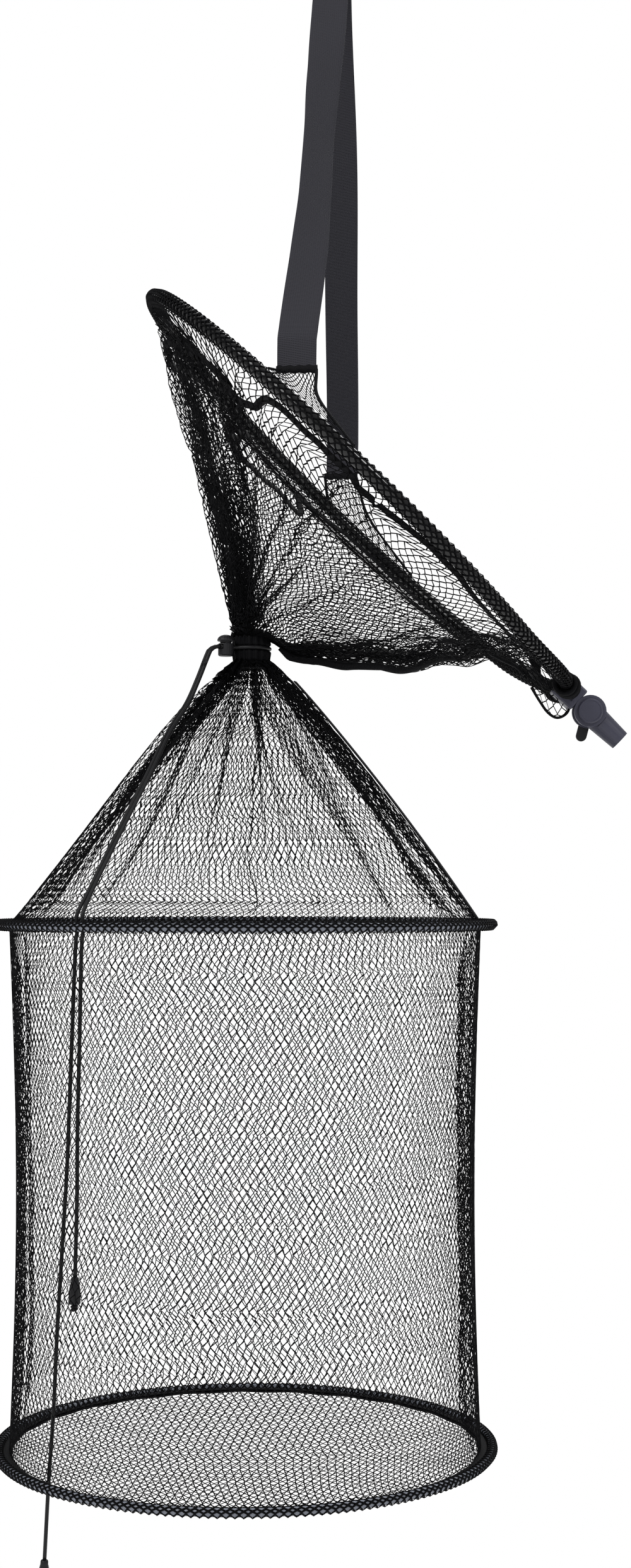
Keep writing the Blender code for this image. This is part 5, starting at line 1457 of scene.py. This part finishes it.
class KEEPNET_OT_shoulder(bpy.types.Operator):
    """Hang the shoulder netting from the neck to the middle hoop, with its seam tape"""

    bl_idname = "keepnet.shoulder"
    bl_label = "Shoulder"
    bl_options = {"REGISTER", "UNDO"}

    # One more fold each: its angle, its half width in degrees, and its depth
    TUCKS = (
        (-22, 1.8, 0.016), (21, 1.8, 0.015), (-6, 1.2, 0.011), (-34, 1.2, 0.009),
        (-52, 1.4, 0.010), (-71, 1.2, 0.008), (-88, 1.4, 0.009), (-104, 1.2, 0.008),
        (-123, 1.4, 0.009), (-158, 1.8, 0.015), (161, 1.8, 0.015), (-170, 1.2, 0.010),
        (-148, 1.2, 0.009),
    )

    def beside_seam(self, turn):
        """The share of the pleats: none along the seam tape."""
        return 1 - np.exp(-(((np.degrees(turn) + 193.5) % 360 - 180) / 4.5) ** 2)

    def execute(self, context):
        columns, rows = sizes().columns, 39
        surface = folded(shoulder_place, columns, rows, 15, 5, 0.76, self.beside_seam, self.TUCKS)
        shift = parted([cord_paths(name)[1] for name in "ab"], CORD_ROOM)
        for name, first, last, flat, area in (
            ("high", 0, 20, (0.9, 0.136), 0.05),
            ("low", 20, rows, (1.18, 0.136), 0.051),
        ):
            ob = netting(f"shoulder_net_{name}", surface, columns, rows, first, last, shift=shift)
            piece(ob, "neck", "shoulder_net")
            squash_shoulder(ob)
        v = np.linspace(0.09, 0.985, 120)
        turn = np.full(120, math.radians(-13.5))
        path = shoulder_place(turn, v, 0.0, 0.0016)
        ob = seam_tape("shoulder_seam", path, shoulder_place(turn, v, 0.0, 0.0026), 1.5)
        piece(ob, "neck", "shoulder_seam_tape")
        squash_shoulder(ob)
        return {"FINISHED"}


class KEEPNET_OT_body(bpy.types.Operator):
    """Hang the body netting between the lower hoops, with its seam tape"""

    bl_idname = "keepnet.body"
    bl_label = "Body"
    bl_options = {"REGISTER", "UNDO"}

    # One more fold each: its angle, its half width in degrees, and its depth
    TUCKS = (
        (-15, 1.0, 0.010), (-3, 1.0, 0.007), (13, 1.2, 0.011), (-167, 1.0, 0.007),
        (-176, 1.0, 0.009), (169, 1.2, 0.009),
    )

    def execute(self, context):
        columns, rows = sizes().columns, 82
        cuts = (0, 27, 54, rows)

        def plain(turn, v, fold):
            return body_place(turn / math.tau, v, -fold)

        surface = folded(plain, columns, rows, 15, 5, 0.0, None, self.TUCKS)
        for i, name in enumerate(("high", "middle", "low")):
            ob = netting(f"body_net_{name}", surface, columns, rows, cuts[i], cuts[i + 1])
            piece(ob, "middle_hoop", "body_net")
            squash_body(ob)
        v = np.linspace(0.01, 0.99, 160)
        u = np.full(160, -9.0 / 360) + 0.0012 * np.sin(v * 31) + 0.0008 * np.sin(v * 77)
        ob = seam_tape("body_seam", body_place(u, v, -0.0018), body_place(u, v, 0.001))
        piece(ob, "middle_hoop", "body_seam_tape")
        squash_body(ob)
        return {"FINISHED"}


class KEEPNET_OT_lower_hoops(bpy.types.Operator):
    """Make the two lower hoops: tube, netting sleeve and tape"""

    bl_idname = "keepnet.lower_hoops"
    bl_label = "Lower hoops"
    bl_options = {"REGISTER", "UNDO"}

    def execute(self, context):
        pale = finish("painted_silver_tube", colours().ring_tube, (0.25, 0.38), 1.15, 0.05, 0.0001)
        for name, height in (("middle", MIDDLE_Z), ("bottom", BOTTOM_Z)):
            for other in bpy.context.selected_objects:
                other.select_set(False)
            bpy.ops.mesh.primitive_torus_add(
                location=(0, 0, 0),
                major_segments=220,
                minor_segments=16,
                major_radius=RING_RADIUS,
                minor_radius=sizes().ring_tube,
            )
            ob = bpy.context.object
            ob.name = f"{name}_ring"
            ob.data.name = ob.name
            ob.data.transform(Matrix.Translation((NET_X, 0, height)))
            ob.data.shade_smooth()
            ob.data.materials.append(pale)
            piece(ob, f"{name}_hoop", f"{name}_hoop_tube")

            def place(u, v, height=height):
                turn = u * math.tau
                around = -v * math.tau + 0.5
                radius = RING_RADIUS + 0.0040 * np.cos(around)
                z = height + 0.0040 * np.sin(around)
                return np.stack((NET_X + radius * np.cos(turn), radius * np.sin(turn), z), -1)

            ob = netting(f"{name}_sleeve", place, sizes().columns, 5, thin=1.9)
            piece(ob, f"{name}_hoop", f"{name}_hoop_sleeve")
            ob = ring_tape(f"{name}_tape", 0.1901, height, (0.0056, 0.0013))
            piece(ob, f"{name}_hoop", f"{name}_hoop_tape")
        return {"FINISHED"}


class KEEPNET_OT_floor_net(bpy.types.Operator):
    """Lay the floor's netting and its edge band in the bottom hoop"""

    bl_idname = "keepnet.floor_net"
    bl_label = "Floor net"
    bl_options = {"REGISTER", "UNDO"}

    def execute(self, context):
        half = 0.1925
        columns, rows = 56, 63
        low = BOTTOM_Z - 0.0015

        def place(u, v):
            x, y = (u - 0.5) * 2 * half, (0.5 - v) * 2 * half
            radius = np.hypot(x, y)
            turn = np.arctan2(y, x)
            sag = 0.004 * (1 - (radius / half) ** 2)
            ripple = 0.0008 * np.sin(12 * turn) * (radius / half) ** 2
            return np.stack((x + NET_X, y, low - sag + ripple), -1)

        def keep(u, v):
            return np.hypot((u - 0.5) * 2 * half, (0.5 - v) * 2 * half) < 0.1885

        shift = parted([cord_paths("b")[2]], CORD_ROOM)
        ob = netting("floor_mesh", place, columns, rows, around=False, keep=keep, shift=shift)
        piece(ob, "bottom_hoop", "floor_net")
        ob = ring_tape("floor_edge_band", 0.1882, low + 0.0001, (0.0058, 0.0012), 0.0004)
        piece(ob, "bottom_hoop", "floor_net")
        return {"FINISHED"}


class KEEPNET_OT_fittings(bpy.types.Operator):
    """Finish the angle lock and the cord lock"""

    bl_idname = "keepnet.fittings"
    bl_label = "Fittings"
    bl_options = {"REGISTER", "UNDO"}

    def execute(self, context):
        brass = finish("turned_brass", colours().brass, (0.25, 0.4), 1.2, 0.1, 0.0001, Metallic=1.0)
        steel = finish("plated_steel", colours().steel, (0.22, 0.35), 1.2, 0.1, 0.0001, Metallic=1.0)
        for nodes, material in (
            (("yoke", "pivot_cap", "thread_block"), moulded_finish()),
            (("clamp_lever", "cord_lock_barrel", "cord_lock_button"), dark_finish()),
            (("thread_insert",), brass),
            (("pivot_bolt", "cord_lock_spring"), steel),
        ):
            for node in nodes:
                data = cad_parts[node].data
                data.materials.clear()
                data.materials.append(material)
        return {"FINISHED"}


OPERATORS = (
    KEEPNET_OT_stage,
    KEEPNET_OT_cords,
    KEEPNET_OT_strap,
    KEEPNET_OT_top_hoop,
    KEEPNET_OT_gussets,
    KEEPNET_OT_funnel,
    KEEPNET_OT_neck,
    KEEPNET_OT_shoulder,
    KEEPNET_OT_body,
    KEEPNET_OT_lower_hoops,
    KEEPNET_OT_floor_net,
    KEEPNET_OT_fittings,
)


class KEEPNET_PT_panel(bpy.types.Panel):
    """The net's sizes, colours and makers"""

    bl_idname = "KEEPNET_PT_panel"
    bl_label = "Keep net"
    bl_space_type = "VIEW_3D"
    bl_region_type = "UI"
    bl_category = "Keep net"

    def draw(self, context):
        for group in (context.scene.keep_net_sizes, context.scene.keep_net_colours):
            box = self.layout.box()
            for name in group.__annotations__:
                box.prop(group, name)
        for operator in OPERATORS:
            self.layout.operator(operator.bl_idname)


CLASSES = (KeepNetSizes, KeepNetColours, *OPERATORS, KEEPNET_PT_panel)


def register():
    """Register the classes and the scene's sizes and colours."""
    for cls in CLASSES:
        bpy.utils.register_class(cls)
    bpy.types.Scene.keep_net_sizes = bpy.props.PointerProperty(type=KeepNetSizes)
    bpy.types.Scene.keep_net_colours = bpy.props.PointerProperty(type=KeepNetColours)


def unregister():
    """Take the classes and the scene's sizes and colours away."""
    del bpy.types.Scene.keep_net_colours
    del bpy.types.Scene.keep_net_sizes
    for cls in reversed(CLASSES):
        bpy.utils.unregister_class(cls)


def main():
    """Make the net."""
    register()
    for operator in OPERATORS:
        group, name = operator.bl_idname.split(".")
        getattr(getattr(bpy.ops, group), name)()


if __name__ == "__main__":
    main()
